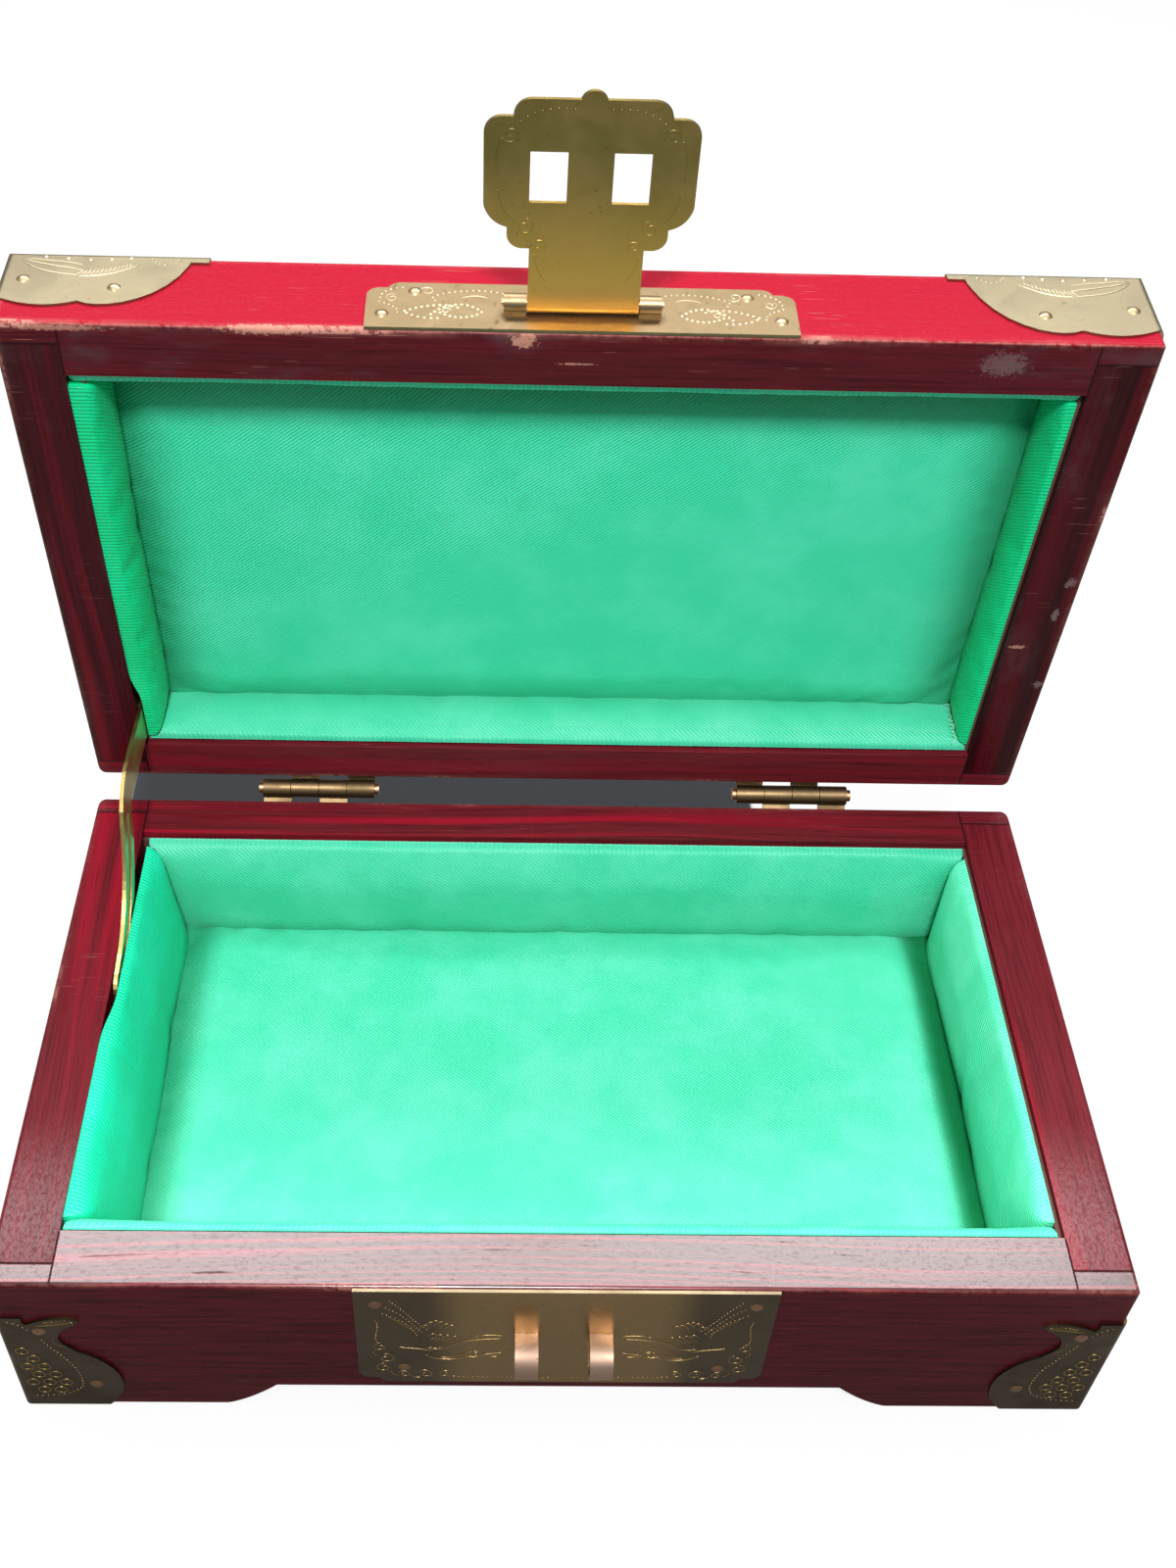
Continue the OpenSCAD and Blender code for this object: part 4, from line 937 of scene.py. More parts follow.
class JEWELRYBOX_OT_hasp(bpy.types.Operator):
    """Punch dotted leaves into the hasp's plate and press scrolls into the hasp"""
    bl_idname = "jewelry_box.hasp"
    bl_label = "Hasp Ornament"

    def execute(self, context):
        low = LID_LOW.z / MM
        r = Relief(face_place(PLATE_T, True))
        for s in (-1, 1):
            def b(*p, steps=14):
                return bezier(*flip([(u, low + v) for u, v in p], s), steps=steps)
            r.dots(b((17.4, 5.0), (20, 8.4), (24, 7.4), (26.2, 4.0)), 1.3)
            r.dots(b((18.2, 4.2), (20.5, 2.8), (22.5, 3.0), (24.6, 4.6)), 1.3)
            r.dots(b((21.6, 6.2), (24.5, 7.6), (28, 6.4), (30.8, 4.9)), 1.25)
            r.dots(b((25.0, 2.9), (27, 2.7), (29, 3.2), (30.4, 4.3)), 1.25)
            r.line(spiral((s * 23.6, low + 5.2), 0.9, 0.25, 0, 1.2), 0.8)
            r.dots(b((13.8, 10.6), (17, 11.8), (21, 11.4), (24.2, 10.3)), 0.95)
            r.dots(b((24.2, 10.3), (26, 9.4), (26.6, 8.6), (25.6, 8.2)), 0.9)
            r.line(spiral((s * 27.0, low + 10.9), 1.35, 0.3, 200, 1.3 * s), 0.8)
            r.dots(b((31.4, 11.9), (33.8, 11.5), (35.0, 10.4), (35.2, 8.8)), 0.95)
            r.line(spiral((s * 33.1, low + 8.7), 1.25, 0.3, 60, -1.3 * s), 0.8)
            r.dots(b((35.3, 7.6), (33.4, 6.6), (32.2, 6.2), (32.0, 4.4)), 0.9)
            r.line(b((16.4, 9.2), (18, 10.0), (19.6, 9.8), (21, 9.0)), 0.6)
        r.build("hasp_plate_ornament", MATERIALS["pale_lines"], "lid")

        pin = closed(HASP_PIN)
        folded = [HASP_TURN.transposed() @ (closed(v.co) - pin) + pin
                  for v in frame["nodes"]["hasp"].data.vertices]
        inner = max(p.y for p in folded)
        thick = 0.7 * MM

        def hasp_place(outside):
            def place(u, v, h):
                y = inner - thick - h * MM if outside else inner + h * MM
                return opened(pin + HASP_TURN @ (Vector((u * MM, y, pin.z - v * MM)) - pin))
            return place
        for outside, height in ((True, 0.9), (False, 0.5)):
            r = Relief(hasp_place(outside))
            for s in (-1, 1):
                def b(*p, steps=14):
                    return bezier(*flip(p, s), steps=steps)
                r.line(spiral((s * 10.4, 15.6), 1.6, 0.35, 90, 1.3 * s), 1.1, height)
                r.line(spiral((s * 8.0, 12.2), 1.3, 0.3, 270, -1.3 * s), 1.1, height)
                r.line(b((8.8, 10.6), (8.4, 8.0), (7.8, 6.6), (6.6, 5.2)), 1.0, height)
                r.line(b((11.9, 16.4), (13.6, 17.6), (14.8, 19.6), (14.9, 22.4)), 1.0, height)
                r.line(spiral((s * 13.0, 32.0), 1.5, 0.35, 200, -1.25 * s), 1.0, height)
                r.line(b((14.4, 31.4), (15.3, 29.6), (15.4, 27.4), (15.2, 25.0)), 1.0, height)
                r.dots(b((3.0, 36.4), (6, 36.6), (9, 36.4), (11.4, 34.2)), 0.8, 1.2)
            r.build("hasp_ornament_outside" if outside else "hasp_ornament_inside",
                    MATERIALS["hasp"], "hasp")
        return {"FINISHED"}


def fruit_ornament(r):
    """Rings inside a dotted fruit, and a hatched leaf above it."""
    r.dots(bezier((7.0, 26.4), (8.6, 21.8), (11.9, 17.4), (12.0, 11.6), 18), 0.85)
    r.dots(bezier((12.0, 10.6), (12.0, 6.4), (8.6, 4.4), (2.4, 4.3), 18), 0.85)
    rows = ((6.9, 9.0), (10.0, 9.8), (13.1, 9.6), (16.2, 8.2), (19.3, 6.8), (22.2, 5.4))
    for k, (v, limit) in enumerate(rows):
        u = 2.7 if k % 2 else 4.3
        while u <= limit:
            r.ring(u, v, 1.12, 1.05, 1.2)
            u += 3.1
    r.strokes(bezier((8.2, 32.9), (10, 33.6), (11.6, 33.7), (13.8, 33.3)), 2.0, -64, 7, 0.75)
    r.line(bezier((6.4, 31.6), (8.6, 31.9), (11, 32.1), (13.6, 33.2)), 0.8)
    r.dots(bezier((2.0, 33.0), (3.4, 32.4), (4.4, 31.4), (5.0, 30.2)), 0.7)
    r.line(bezier((9.3, 27.8), (8.4, 26.2), (9.2, 24.8), (11.0, 23.6)), 0.8)


def leaf_ornament(r):
    """Veins that sweep from the corner, a feathered edge and a row of beads."""
    r.line(bezier((2.6, 2.3), (5.0, 5.2), (8.4, 6.3), (13.2, 6.7), 18), 1.2, 1.2)
    r.line(bezier((2.6, 2.0), (6.0, 3.4), (9.6, 4.3), (13.8, 5.0), 18), 1.1, 1.2)
    r.line(bezier((2.8, 1.7), (7.0, 2.2), (10, 2.6), (13.4, 3.3), 18), 0.9)
    r.strokes(bezier((12.8, 6.5), (16, 6.6), (19.4, 5.4), (22.4, 3.4)), 2.3, -58, 13, 0.8)
    r.line(bezier((12.6, 6.9), (16.4, 7.2), (20.2, 5.9), (23.4, 3.2)), 0.9)
    for u, v in ((6.6, 1.1), (10.6, 1.5), (14.6, 1.8), (18.2, 1.5), (21.6, 1.1)):
        r.dot(u, v, 1.7)
    r.dots(bezier((25.4, 1.4), (27.0, 3.4), (28.4, 3.8), (30.2, 1.6)), 0.8)


def flap_ornament(r):
    """Veins over the flap on the lid's top."""
    for k in range(5):
        a = math.radians(14 + 15.5 * k)
        length = (24, 17, 14, 14.5, 18)[k]
        tip = np.array([math.cos(a), math.sin(a)]) * length
        side = np.array([-math.sin(a), math.cos(a)])
        r.line(bezier((2.6, 2.6), tip * 0.35 + side * 1.1, tip * 0.7 - side * 0.9, tip, 16), 1.0)
    r.dots(bezier((26, 6.4), (21, 8.6), (17, 9.4), (15, 12.2)), 0.85)
    r.dots(bezier((13.4, 13.0), (11.4, 15.4), (8.6, 17.0), (6.6, 20.0)), 0.85)


class JEWELRYBOX_OT_corners(bpy.types.Operator):
    """Press fruit, leaves and dots into the corner fittings"""
    bl_idname = "jewelry_box.corners"
    bl_label = "Corner Ornament"

    def execute(self, context):
        names = {(-1, -1): "front_left", (1, -1): "front_right", (-1, 1): "rear_left", (1, 1): "rear_right"}
        base = ("base", {"long": fruit_ornament, "side": fruit_ornament}, "fruit_lines", "dark_brass")
        lid = ("lid", {"long": leaf_ornament, "side": leaf_ornament, "top": flap_ornament},
               "pale_lines", "pale_brass")
        for (side, end), name in names.items():
            for body, leaves, material, slot in (base, lid):
                verts, faces = [], []
                for leaf, press_into in leaves.items():
                    r = Relief(corner_place(leaf, side, end, CORNER_T, body == "lid"))
                    press_into(r)
                    faces += [tuple(i + len(verts) for i in f) for f in r.faces]
                    verts += r.verts
                mesh_object(f"{body}_corner_ornament_{name}", verts, faces, MATERIALS[material], body)
        return {"FINISHED"}


# ---------- Padded satin ----------

SIM_SCALE = 20.0
SIM_FRAMES = 16
SIM_CAP = 0.0022  # how far the simulation may move a point
WAVES = ((1.0, 0.7, 1.0), (2.1, -1.6, 0.5), (-3.4, 3.9, 0.28), (6.2, 5.1, 0.14))


def stops(length, cell, round_r):
    """Places of the mesh lines along a side: close at the rounded ends."""
    ends = [0.0, 0.12 * round_r, 0.35 * round_r, 0.68 * round_r, 1.1 * round_r, 1.7 * round_r]
    inner = np.linspace(1.7 * round_r, length - 1.7 * round_r,
                        max(3, int((length - 3.4 * round_r) / cell)) + 1)
    return np.r_[ends[:-1], inner, [length - e for e in ends[:-1]][::-1]]


def value_noise(points, scale, seed):
    """Smooth noise, repeatable, one value for each point."""
    p = points * scale + seed
    out = np.zeros(len(p))
    for k, (fx, fy, amp) in enumerate(WAVES):
        out += amp * np.sin(p[:, 0] * fx + p[:, 1] * fy + 1.7 * k + np.sin(p[:, 1] * fx * 0.8 + seed))
    return out / 1.9


def settle(rows, columns, points, slack, pressure, cap):
    """Blow a pinned sheet up with Blender's cloth, and return where its points come to rest."""
    mesh = bpy.data.meshes.new("satin_sheet")
    mesh.from_pydata([tuple(p * SIM_SCALE) for p in points], [], grid_faces(rows, columns))
    obj = bpy.data.objects.new("satin_sheet", mesh)
    scene = bpy.context.scene
    scene.collection.objects.link(obj)
    pinned = obj.vertex_groups.new(name="pinned")
    border = [r * columns + c for r in range(rows) for c in range(columns)
              if r < 2 or c < 2 or r > rows - 3 or c > columns - 3]
    pinned.add(border, 1.0, "REPLACE")
    cloth = obj.modifiers.new("Cloth", "CLOTH")
    c = cloth.settings
    c.quality = 6
    c.mass = 0.25
    c.vertex_group_mass = "pinned"
    c.use_pressure = True
    c.uniform_pressure_force = pressure
    c.shrink_min = -slack
    c.tension_stiffness = 30
    c.compression_stiffness = 18
    c.shear_stiffness = 12
    c.bending_stiffness = 0.6
    c.tension_damping = 12
    c.compression_damping = 12
    c.shear_damping = 12
    c.effector_weights.gravity = 0
    cloth.collision_settings.use_collision = False
    cloth.point_cache.frame_start = 1
    cloth.point_cache.frame_end = SIM_FRAMES
    for number in range(1, SIM_FRAMES + 1):
        scene.frame_set(number)
    shaped = obj.evaluated_get(bpy.context.evaluated_depsgraph_get())
    flat = np.empty(len(shaped.data.vertices) * 3)
    shaped.data.vertices.foreach_get("co", flat)
    rested = flat.reshape(-1, 3) / SIM_SCALE
    bpy.data.objects.remove(obj)
    bpy.data.meshes.remove(mesh)
    scene.frame_set(1)
    move = rested - points
    far = np.linalg.norm(move, axis=1, keepdims=True)
    return points + move * np.minimum(1.0, cap / np.maximum(far, 1e-9))


def pad(name, node, axis, sign, body, move, round_r, crown, seed, lean=None, slack=1.0,
        low_by=(0, 0, 0), high_by=(0, 0, 0), wave=0.00014, hollow=(), satin="satin", press=None):
    """A padded panel in the place of a CAD pad; its soft side looks along axis, to sign.

    The painted-shade list holds (side, start, reach, strength) for the sides u0, u1, v0 and v1, near which
    shade is painted into the satin's colour.
    press is (x, share); its values are not used: a pad given one only gets a mesh of its own.
    """
    s = settings().lining
    low, high = closed_box(node) if body == "lid" else base_box(node)
    low = [a + b for a, b in zip(low, low_by)]
    high = [a + b for a, b in zip(high, high_by)]
    others = [k for k in (0, 1, 2) if k != axis]
    u_axis, v_axis = sorted(others, key=lambda k: low[k] - high[k])
    u_len, v_len = high[u_axis] - low[u_axis], high[v_axis] - low[v_axis]
    thick = high[axis] - low[axis]
    us, vs = stops(u_len, s.cell, round_r), stops(v_len, s.cell, round_r)
    rows, columns = len(vs), len(us)
    uu, vv = np.meshgrid(us, vs)
    uu, vv = uu.ravel(), vv.ravel()

    def shoulder(d):
        d = np.clip(d, 0, round_r)
        return np.sqrt(np.maximum(0, round_r ** 2 - (round_r - d) ** 2)) - round_r
    rim = np.minimum(np.minimum(uu, u_len - uu), np.minimum(vv, v_len - vv))
    sway = value_noise(np.c_[uu, vv], 48.0, seed + 3.0) * 0.0007 * np.clip(rim / 0.0015, 0, 1)
    swell_shape = np.sqrt(np.maximum(0, np.sin(math.pi * uu / u_len) * np.sin(math.pi * vv / v_len)))
    lay = np.c_[uu, vv]
    waves = value_noise(lay, 62.0, seed) * np.clip(rim / 0.003, 0, 1)
    swell = crown * swell_shape * 1
    height = thick + shoulder(rim + sway) + swell + wave * waves
    points = np.c_[uu, vv, height]
    points = settle(rows, columns, points, s.slack * slack, s.pressure, SIM_CAP)
    points[:, 0] = np.clip(points[:, 0], 0, u_len)
    points[:, 1] = np.clip(points[:, 1], 0, v_len)
    points[:, 2] = np.clip(points[:, 2], thick - round_r, thick + crown + 0.0018)
    # skirt and back close the form
    loop = ([c for c in range(columns)] + [r * columns + columns - 1 for r in range(1, rows)]
            + [(rows - 1) * columns + c for c in range(columns - 2, -1, -1)]
            + [r * columns for r in range(rows - 2, 0, -1)])
    verts = [tuple(p) for p in points]
    faces = grid_faces(rows, columns)
    base = len(verts)
    verts += [(verts[k][0], verts[k][1], 0.0) for k in loop]
    count = len(loop)
    for k in range(count):
        faces.append((loop[(k + 1) % count], loop[k], base + k, base + (k + 1) % count))
    faces.append(tuple(base + k for k in range(count)))

    def put(p):
        q = Vector()
        q[u_axis] = low[u_axis] + p[0]
        q[v_axis] = low[v_axis] + p[1]
        q[axis] = low[axis] + p[2] if sign > 0 else high[axis] - p[2]
        return move(lean(q) if lean else q)
    placed = [put(p) for p in verts]
    hand = Vector([1 if k == u_axis else 0 for k in range(3)]).cross(
        Vector([1 if k == v_axis else 0 for k in range(3)]))[axis] * sign
    if hand < 0:
        faces = [tuple(reversed(f)) for f in faces]
    obj = mesh_object(name, placed, faces, MATERIALS[satin], body)
    crease = [1.0 if min(e.vertices) >= base else 0.0 for e in obj.data.edges]
    obj.data.attributes.new("crease_edge", "FLOAT", "EDGE").data.foreach_set("value", crease)
    # painted shade: how strongly each point's colour is darkened near the listed sides
    shade = np.zeros(len(verts))
    flat = np.array(verts)
    gap = {"u0": flat[:, 0], "u1": u_len - flat[:, 0], "v0": flat[:, 1], "v1": v_len - flat[:, 1]}
    for side, start, reach, strength in hollow:
        t = np.clip((gap[side] - start) / reach, 0, 1)
        shade = np.maximum(shade, strength * (1 - t * t * (3 - 2 * t)))
    obj.data.attributes.new("hollow", "FLOAT", "POINT").data.foreach_set("value", shade.astype(np.float32))
    mark = obj.data.attributes.new("cloth_lay", "FLOAT_VECTOR", "POINT")
    flat = flat.astype(np.float32)
    if u_axis == 1:
        flat = flat[:, [1, 0, 2]] * (1, -1, 1)
    flat[:, 0] += 0.37 * seed
    mark.data.foreach_set("vector", flat.ravel())
    smooth = obj.modifiers.new("Soft", "SUBSURF")
    smooth.levels = smooth.render_levels = 1
    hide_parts(node)
    if press is not None:
        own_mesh(obj)
    return obj


def ease(value, start, end):
    """0 at start, 1 at end, smooth between."""
    t = min(1.0, max(0.0, (value - start) / (end - start)))
    return t * t * (3 - 2 * t)


def spread(p, top, start, end):
    """Pull the outer side of a left pad out to the board, ahead of the stay."""
    outer = ease(-p.x, 0.0857, 0.0880)
    return p.x - top * (0.0001 + 0.00135 * outer) * ease(-p.y, start, end)


def flare_base(p):
    """The base's left pad is fuller at its foot, and its front leans out to the board."""
    up = ease(p.z, 0.014, 0.040)
    foot = 0.0030 * (1 - ease(p.z, 0.008, 0.048)) * ease(p.x, -0.0880, -0.0857)
    return Vector((spread(p, up, 0.0042, 0.0150) + foot, p.y, p.z))


def flare_right(p):
    """The base's right pad is a little fuller at its foot."""
    return Vector((p.x - 0.0004 * (1 - ease(p.z, 0.008, 0.048)) * ease(-p.x, -0.0885, -0.0863), p.y, p.z))


def flare_lid(p):
    """The same for the lid's left pad, whose rim is its low side."""
    down = ease(-p.z, -(LID_TOP - 0.008), -(LID_LOW.z + 0.002))
    return Vector((spread(p, down, -0.0265, -0.0190), p.y, p.z))


def reach_left(p):
    """The front pads run on past the stay's slot to the left board."""
    return Vector((p.x - 0.0028 * ease(-p.x, 0.078, 0.0872), p.y, p.z))


OUT = 0.00155   # how far the left pads wrap round their card
LAP = 0.0004    # how far neighbouring pads press into each other
RAISE = 0.0008  # how far the left pads stand over the edge of their card
FRONT_TUCK = 0.001  # how much further the base's left pad goes into the front one


class JEWELRYBOX_OT_base_lining(bpy.types.Operator):
    """Pad the base with satin: a floor and four walls"""
    bl_idname = "jewelry_box.base_lining"
    bl_label = "Base Lining"

    def execute(self, context):
        # lit and shaded copies of one satin: each multiplies the lining's colour as painted light and shade
        # for where its pads sit; the upright, side, overhead and lid-side copies are painted darker, the
        # right wall's lighter
        MATERIALS["satin"] = satin_material("green_satin", (1, 1, 1))
        MATERIALS["satin_back_painted_shade"] = satin_material("green_satin_upright", (0.78, 0.83, 0.80))
        MATERIALS["satin_side_painted_shade"] = satin_material("green_satin_aside", (0.05, 0.94, 0.80))
        MATERIALS["satin_ceiling_painted_shade"] = satin_material("green_satin_overhead", (0.70, 0.98, 0.92))
        MATERIALS["satin_lid_side_painted_shade"] = satin_material("green_satin_lid_side", (0.02, 0.84, 0.51))
        MATERIALS["satin_right_painted_light"] = satin_material("green_satin_lit", (1.3, 1.12, 1.05))
        # the lists of (side, start, reach, strength) paint shade into the satin near the pads' seams
        pad("floor_cushion", "base_floor_pad", 2, 1, "base", stay_put, 0.0014, 0.0020, 1.0, wave=0.0003,
            low_by=(-OUT - LAP, -LAP, 0), high_by=(LAP, LAP, 0),
            hollow=(("u0", 0.0065, 0.0065, 0.66), ("u1", 0.0050, 0.0045, 1.0), ("v1", 0, 0.003, 0.15)))
        pad("front_wall_cushion", "base_front_lining", 1, 1, "base", stay_put, 0.0022, 0.0003, 2.0,
            lean=reach_left, slack=0.3)
        pad("back_wall_cushion", "base_back_lining", 1, -1, "base", stay_put, 0.0020, 0.0003, 3.0, slack=0.6,
            low_by=(-OUT, 0, 0), wave=0.00055, hollow=(("v0", 0, 0.011, 0.62),), satin="satin_back_painted_shade")
        pad("left_wall_cushion", "base_left_lining", 0, 1, "base", stay_put, 0.0028, 0.0003, 4.0,
            lean=flare_base, slack=0.5, low_by=(-OUT, -LAP - FRONT_TUCK, 0), high_by=(-OUT, LAP, RAISE),
            wave=0.0005, satin="satin_side_painted_shade", press=(-0.0840, 0.77))
        pad("right_wall_cushion", "base_right_lining", 0, -1, "base", stay_put, 0.0028, 0.0003, 5.0,
            lean=flare_right, slack=0.5, low_by=(0, -LAP, 0), high_by=(0, LAP, 0), wave=0.0005,
            satin="satin_right_painted_light")
        return {"FINISHED"}


class JEWELRYBOX_OT_lid_lining(bpy.types.Operator):
    """Pad the lid with satin: a ceiling and four walls"""
    bl_idname = "jewelry_box.lid_lining"
    bl_label = "Lid Lining"

    def execute(self, context):
        # the ceiling's list paints shade near its sides and a painted shadow under the lid's front wall
        pad("ceiling_cushion", "lid_ceiling_pad", 2, -1, "lid", opened, 0.0012, 0.0008, 6.0,
            low_by=(-OUT - LAP, -LAP, 0), high_by=(LAP, LAP, 0), satin="satin_ceiling_painted_shade",
            hollow=(("u0", 0, 0.015, 0.72), ("u1", 0, 0.017, 0.72), ("v0", 0.004, 0.016, 0.62),
                    ("v1", 0, 0.006, 0.2)))
        pad("lid_front_cushion", "lid_front_lining", 1, 1, "lid", opened, 0.0016, 0.0002, 7.0,
            lean=reach_left, slack=0.3)
        pad("lid_back_cushion", "lid_back_lining", 1, -1, "lid", opened, 0.0014, 0.0002, 8.0, slack=0.3,
            low_by=(-OUT, 0, 0), wave=0.0003, satin="satin_back_painted_shade")
        pad("lid_left_cushion", "lid_left_lining", 0, 1, "lid", opened, 0.0014, 0.0002, 9.0,
            lean=flare_lid, slack=0.4, low_by=(-OUT, -LAP, -RAISE), high_by=(-0.0008, LAP, 0), wave=0.0003,
            satin="satin_lid_side_painted_shade", press=(-0.0856, 0.69))
        pad("lid_right_cushion", "lid_right_lining", 0, -1, "lid", opened, 0.0014, 0.0002, 10.0, slack=0.4,
            low_by=(0, -LAP, 0), high_by=(0, LAP, 0), wave=0.0003, satin="satin_lid_side_painted_shade")
        return {"FINISHED"}


THREADS = 26
THREAD_R = 0.00011


def thread_material():
    """Frayed ends of the satin."""
    material, n, shader = new_material("green_thread")
    fuzz = n.noise(n.add("ShaderNodeTexCoord").outputs["Object"], 2600.0, 2.0, 0.6)
    n.feed(shader["Base Color"], n.mix(fuzz, (0.12, 0.58, 0.36, 1), (0.42, 0.80, 0.62, 1)))
    shader["Roughness"].default_value = 0.75
    shader["Sheen Weight"].default_value = 0.3
    n.feed(shader["Normal"], bump(n, fuzz, 0.4, 0.00005))
    return material


def strand(verts, faces, points, radius, sides=5):
    """A thin closed tube along points that narrows to both ends."""
    start, count = len(verts), len(points)
    for i, p in enumerate(points):
        way = (points[min(i + 1, count - 1)] - points[max(i - 1, 0)]).normalized()
        side = way.orthogonal().normalized()
        up = way.cross(side)
        r = radius * (0.45 if i in (0, count - 1) else 1.0)
        for k in range(sides):
            a = 2 * math.pi * k / sides
            verts.append(p + (side * math.cos(a) + up * math.sin(a)) * r)
    for i in range(count - 1):
        for k in range(sides):
            a, b = start + i * sides, start + (i + 1) * sides
            faces.append((a + k, a + (k + 1) % sides, b + (k + 1) % sides, b + k))
    faces.append(tuple(start + k for k in reversed(range(sides))))
    faces.append(tuple(start + (count - 1) * sides + k for k in range(sides)))


class JEWELRYBOX_OT_threads(bpy.types.Operator):
    """Fray the satin where the lid's rear and right pads meet"""
    bl_idname = "jewelry_box.threads"
    bl_label = "Loose Threads"

    def execute(self, context):
        luck = random.Random(17)
        low, high = closed_box("lid_right_lining")
        corner_x, corner_y = low[0] - 0.0003, high[1] - 0.0003
        verts, faces = [], []
        for number in range(THREADS):
            z = low[2] + 0.0006 + (high[2] - low[2] - 0.002) * (number + luck.random()) / THREADS
            here = Vector((corner_x - 0.0002 * luck.random(), corner_y - 0.0003 * luck.random(), z))
            way = Vector((-0.35 - 0.5 * luck.random(), -0.5 - 0.5 * luck.random(),
                          luck.uniform(-1.0, 0.5))).normalized()
            length = luck.uniform(0.0008, 0.0021)
            points = []
            for k in range(6):
                points.append(here.copy())
                way = (way + Vector([luck.uniform(-0.45, 0.45) for _ in range(3)])).normalized()
                here = here + way * (length / 5)
            strand(verts, faces, points, THREAD_R)
        mesh_object("frayed_threads", [opened(v) for v in verts], faces, thread_material(), "lid")
        return {"FINISHED"}


# ---------- Stage ----------

# name of the lamp and of its power, place, aim, width and depth
LAMPS = (
    ("key", (-0.02, -0.524, 0.919), (0.0, 0.05, 0.10), 0.14, 0.14),
    ("back", (0.0, 0.45, 0.88), (0.0, -0.05, 0.045), 0.95, 0.20),
    ("top", (0.0, 0.02, 0.80), (0.0, 0.0, 0.0), 1.50, 0.35))
FLOOR_HALF = 3.0
# a shadow painted on the floor right behind the box, where the standing lid casts shade: its middle, and
# where it fades out
SHADE_MIDDLE = (-0.0271, BACK_Y + 0.0500)
SHADE_FADE_X = (0.0798, 0.0812)
SHADE_FADE_Y = (0.011, 0.024)
# metres, degrees, and shares of the sensor
CAMERA_PLACE = (-0.0147, -0.2175, 0.3228)
CAMERA_TURN = (45.2, -1.6, -0.43)
CAMERA_SHIFT = (0.0344, -0.01125)


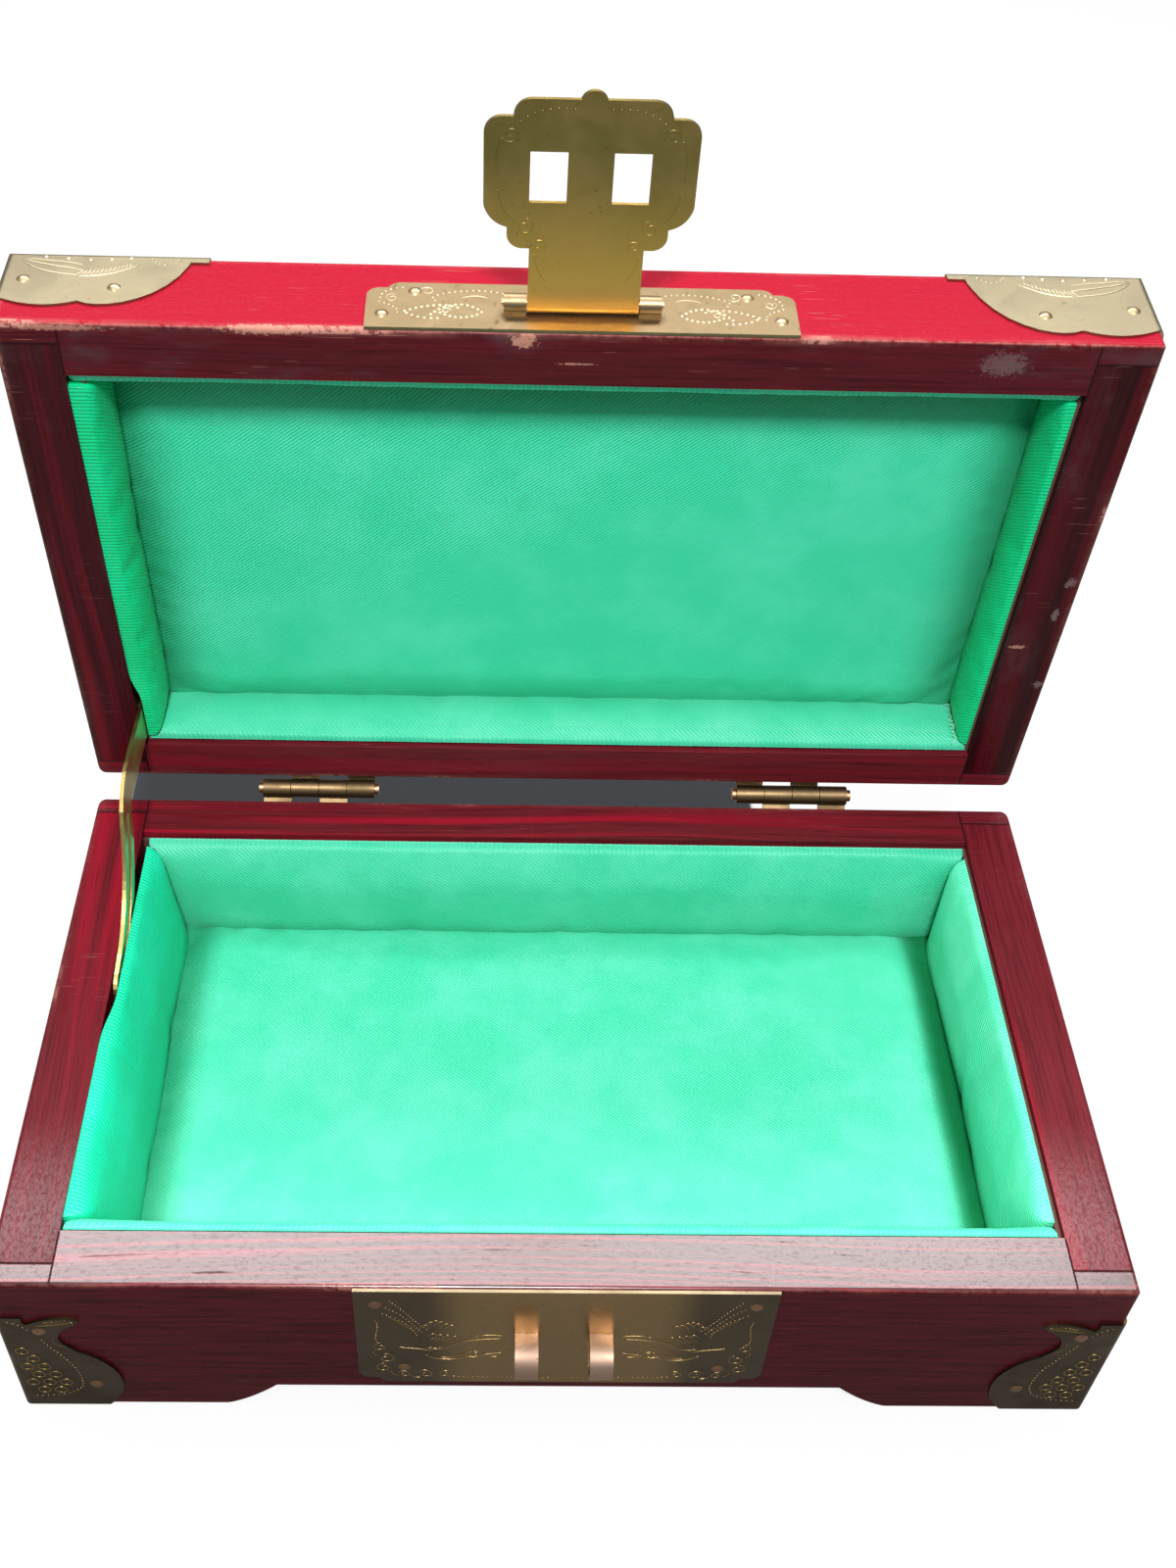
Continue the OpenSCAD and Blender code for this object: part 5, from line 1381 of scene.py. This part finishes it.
class JEWELRYBOX_OT_stage(bpy.types.Operator):
    """Set up the floor, the lights and the camera"""
    bl_idname = "jewelry_box.stage"
    bl_label = "Stage"

    def execute(self, context):
        s = settings().stage
        scene = context.scene
        size = FLOOR_HALF
        mesh = bpy.data.meshes.new("floor")
        mesh.from_pydata([(-size, -size, 0), (size, -size, 0), (size, size, 0), (-size, size, 0)],
                         [], [(0, 1, 2, 3)])
        floor = bpy.data.objects.new("floor", mesh)
        scene.collection.objects.link(floor)
        material = bpy.data.materials.new("floor")
        material.use_nodes = True
        material.node_tree.nodes.clear()
        n = Nodes(material.node_tree)
        path = n.add("ShaderNodeLightPath").outputs
        glow = n.add("ShaderNodeEmission", {"Color": (1, 1, 1, 1), "Strength": 1.0})
        x, y = n.split(n.add("ShaderNodeTexCoord").outputs["Object"])[:2]
        # painted shadow: for camera rays the floor is painted dark, and glows less, in the patch right behind
        # the box
        away_x = n.absolute(n.minus(x, SHADE_MIDDLE[0]))
        away_y = n.absolute(n.minus(y, SHADE_MIDDLE[1]))
        behind = n.times(n.rest(n.fade(away_x, *SHADE_FADE_X)), n.rest(n.fade(away_y, *SHADE_FADE_Y)))
        pale = n.mix(behind, (0.75, 0.75, 0.75, 1), (0.035, 0.037, 0.042, 1))
        paint = n.add("ShaderNodeBsdfDiffuse", {"Color": n.mix(path["Is Camera Ray"], tuple(s.floor), pale)})
        share = n.times(path["Is Camera Ray"], n.minus(0.80, n.times(behind, 0.78)))
        share = n.most(share, n.times(path["Is Glossy Ray"], 0.06))
        mixed = n.add("ShaderNodeMixShader", {0: share, 1: paint.outputs[0], 2: glow.outputs[0]})
        n.add("ShaderNodeOutputMaterial", {"Surface": mixed.outputs[0]})
        mesh.materials.append(material)

        world = bpy.data.worlds.new("studio")
        scene.world = world
        world.use_nodes = True
        world.node_tree.nodes.clear()
        n = Nodes(world.node_tree)
        path = n.add("ShaderNodeLightPath").outputs
        seen = n.most(path["Is Camera Ray"],
                      n.times(n.most(path["Is Glossy Ray"], path["Is Transmission Ray"]), 0.08))
        strength = n.plus(n.times(seen, 1.0 - s.fill), s.fill)
        sky = n.add("ShaderNodeBackground", {"Color": (1, 1, 1, 1), "Strength": strength})
        n.add("ShaderNodeOutputWorld", {"Surface": sky.outputs[0]})

        for name, place, aim, width, depth in LAMPS:
            lamp = bpy.data.lights.new(name, "AREA")
            lamp.shape = "RECTANGLE"
            lamp.size, lamp.size_y, lamp.energy = width, depth, getattr(s, name)
            obj = bpy.data.objects.new(name, lamp)
            obj.location = place
            obj.rotation_euler = (Vector(aim) - Vector(place)).to_track_quat("-Z", "Y").to_euler()
            scene.collection.objects.link(obj)

        camera = bpy.data.cameras.new("camera")
        camera.lens = s.focal
        camera.sensor_width = 36.0
        camera.shift_x, camera.shift_y = CAMERA_SHIFT
        camera.clip_start = 0.01
        obj = bpy.data.objects.new("camera", camera)
        obj.location = CAMERA_PLACE
        obj.rotation_euler = [math.radians(a) for a in CAMERA_TURN]
        scene.collection.objects.link(obj)
        scene.camera = obj
        scene.view_settings.view_transform = "Standard"
        return {"FINISHED"}


# ---------- Panel and registration ----------

# the operators, in the order in which main calls them
STEPS = (JEWELRYBOX_OT_boards, JEWELRYBOX_OT_fittings, JEWELRYBOX_OT_lock_plate, JEWELRYBOX_OT_hasp,
         JEWELRYBOX_OT_corners, JEWELRYBOX_OT_base_lining, JEWELRYBOX_OT_lid_lining, JEWELRYBOX_OT_threads,
         JEWELRYBOX_OT_stage)


class JEWELRYBOX_PT_panel(bpy.types.Panel):
    """Lists the jewelry box's operators"""
    bl_idname = "JEWELRYBOX_PT_panel"
    bl_label = "Jewelry Box"
    bl_space_type = "VIEW_3D"
    bl_region_type = "UI"
    bl_category = "Jewelry Box"

    def draw(self, context):
        for step in STEPS:
            self.layout.operator(step.bl_idname)


CLASSES = (JewelryBoxLacquer, JewelryBoxBrass, JewelryBoxLining, JewelryBoxStage,
           JewelryBoxSettings) + STEPS + (JEWELRYBOX_PT_panel,)


def register():
    for cls in CLASSES:
        bpy.utils.register_class(cls)
    bpy.types.Scene.jewelry_box = bpy.props.PointerProperty(type=JewelryBoxSettings)


def unregister():
    del bpy.types.Scene.jewelry_box
    for cls in reversed(CLASSES):
        bpy.utils.unregister_class(cls)


def main():
    register()
    for step in STEPS:
        group, name = step.bl_idname.split(".")
        getattr(getattr(bpy.ops, group), name)()


if __name__ == "__main__":
    main()
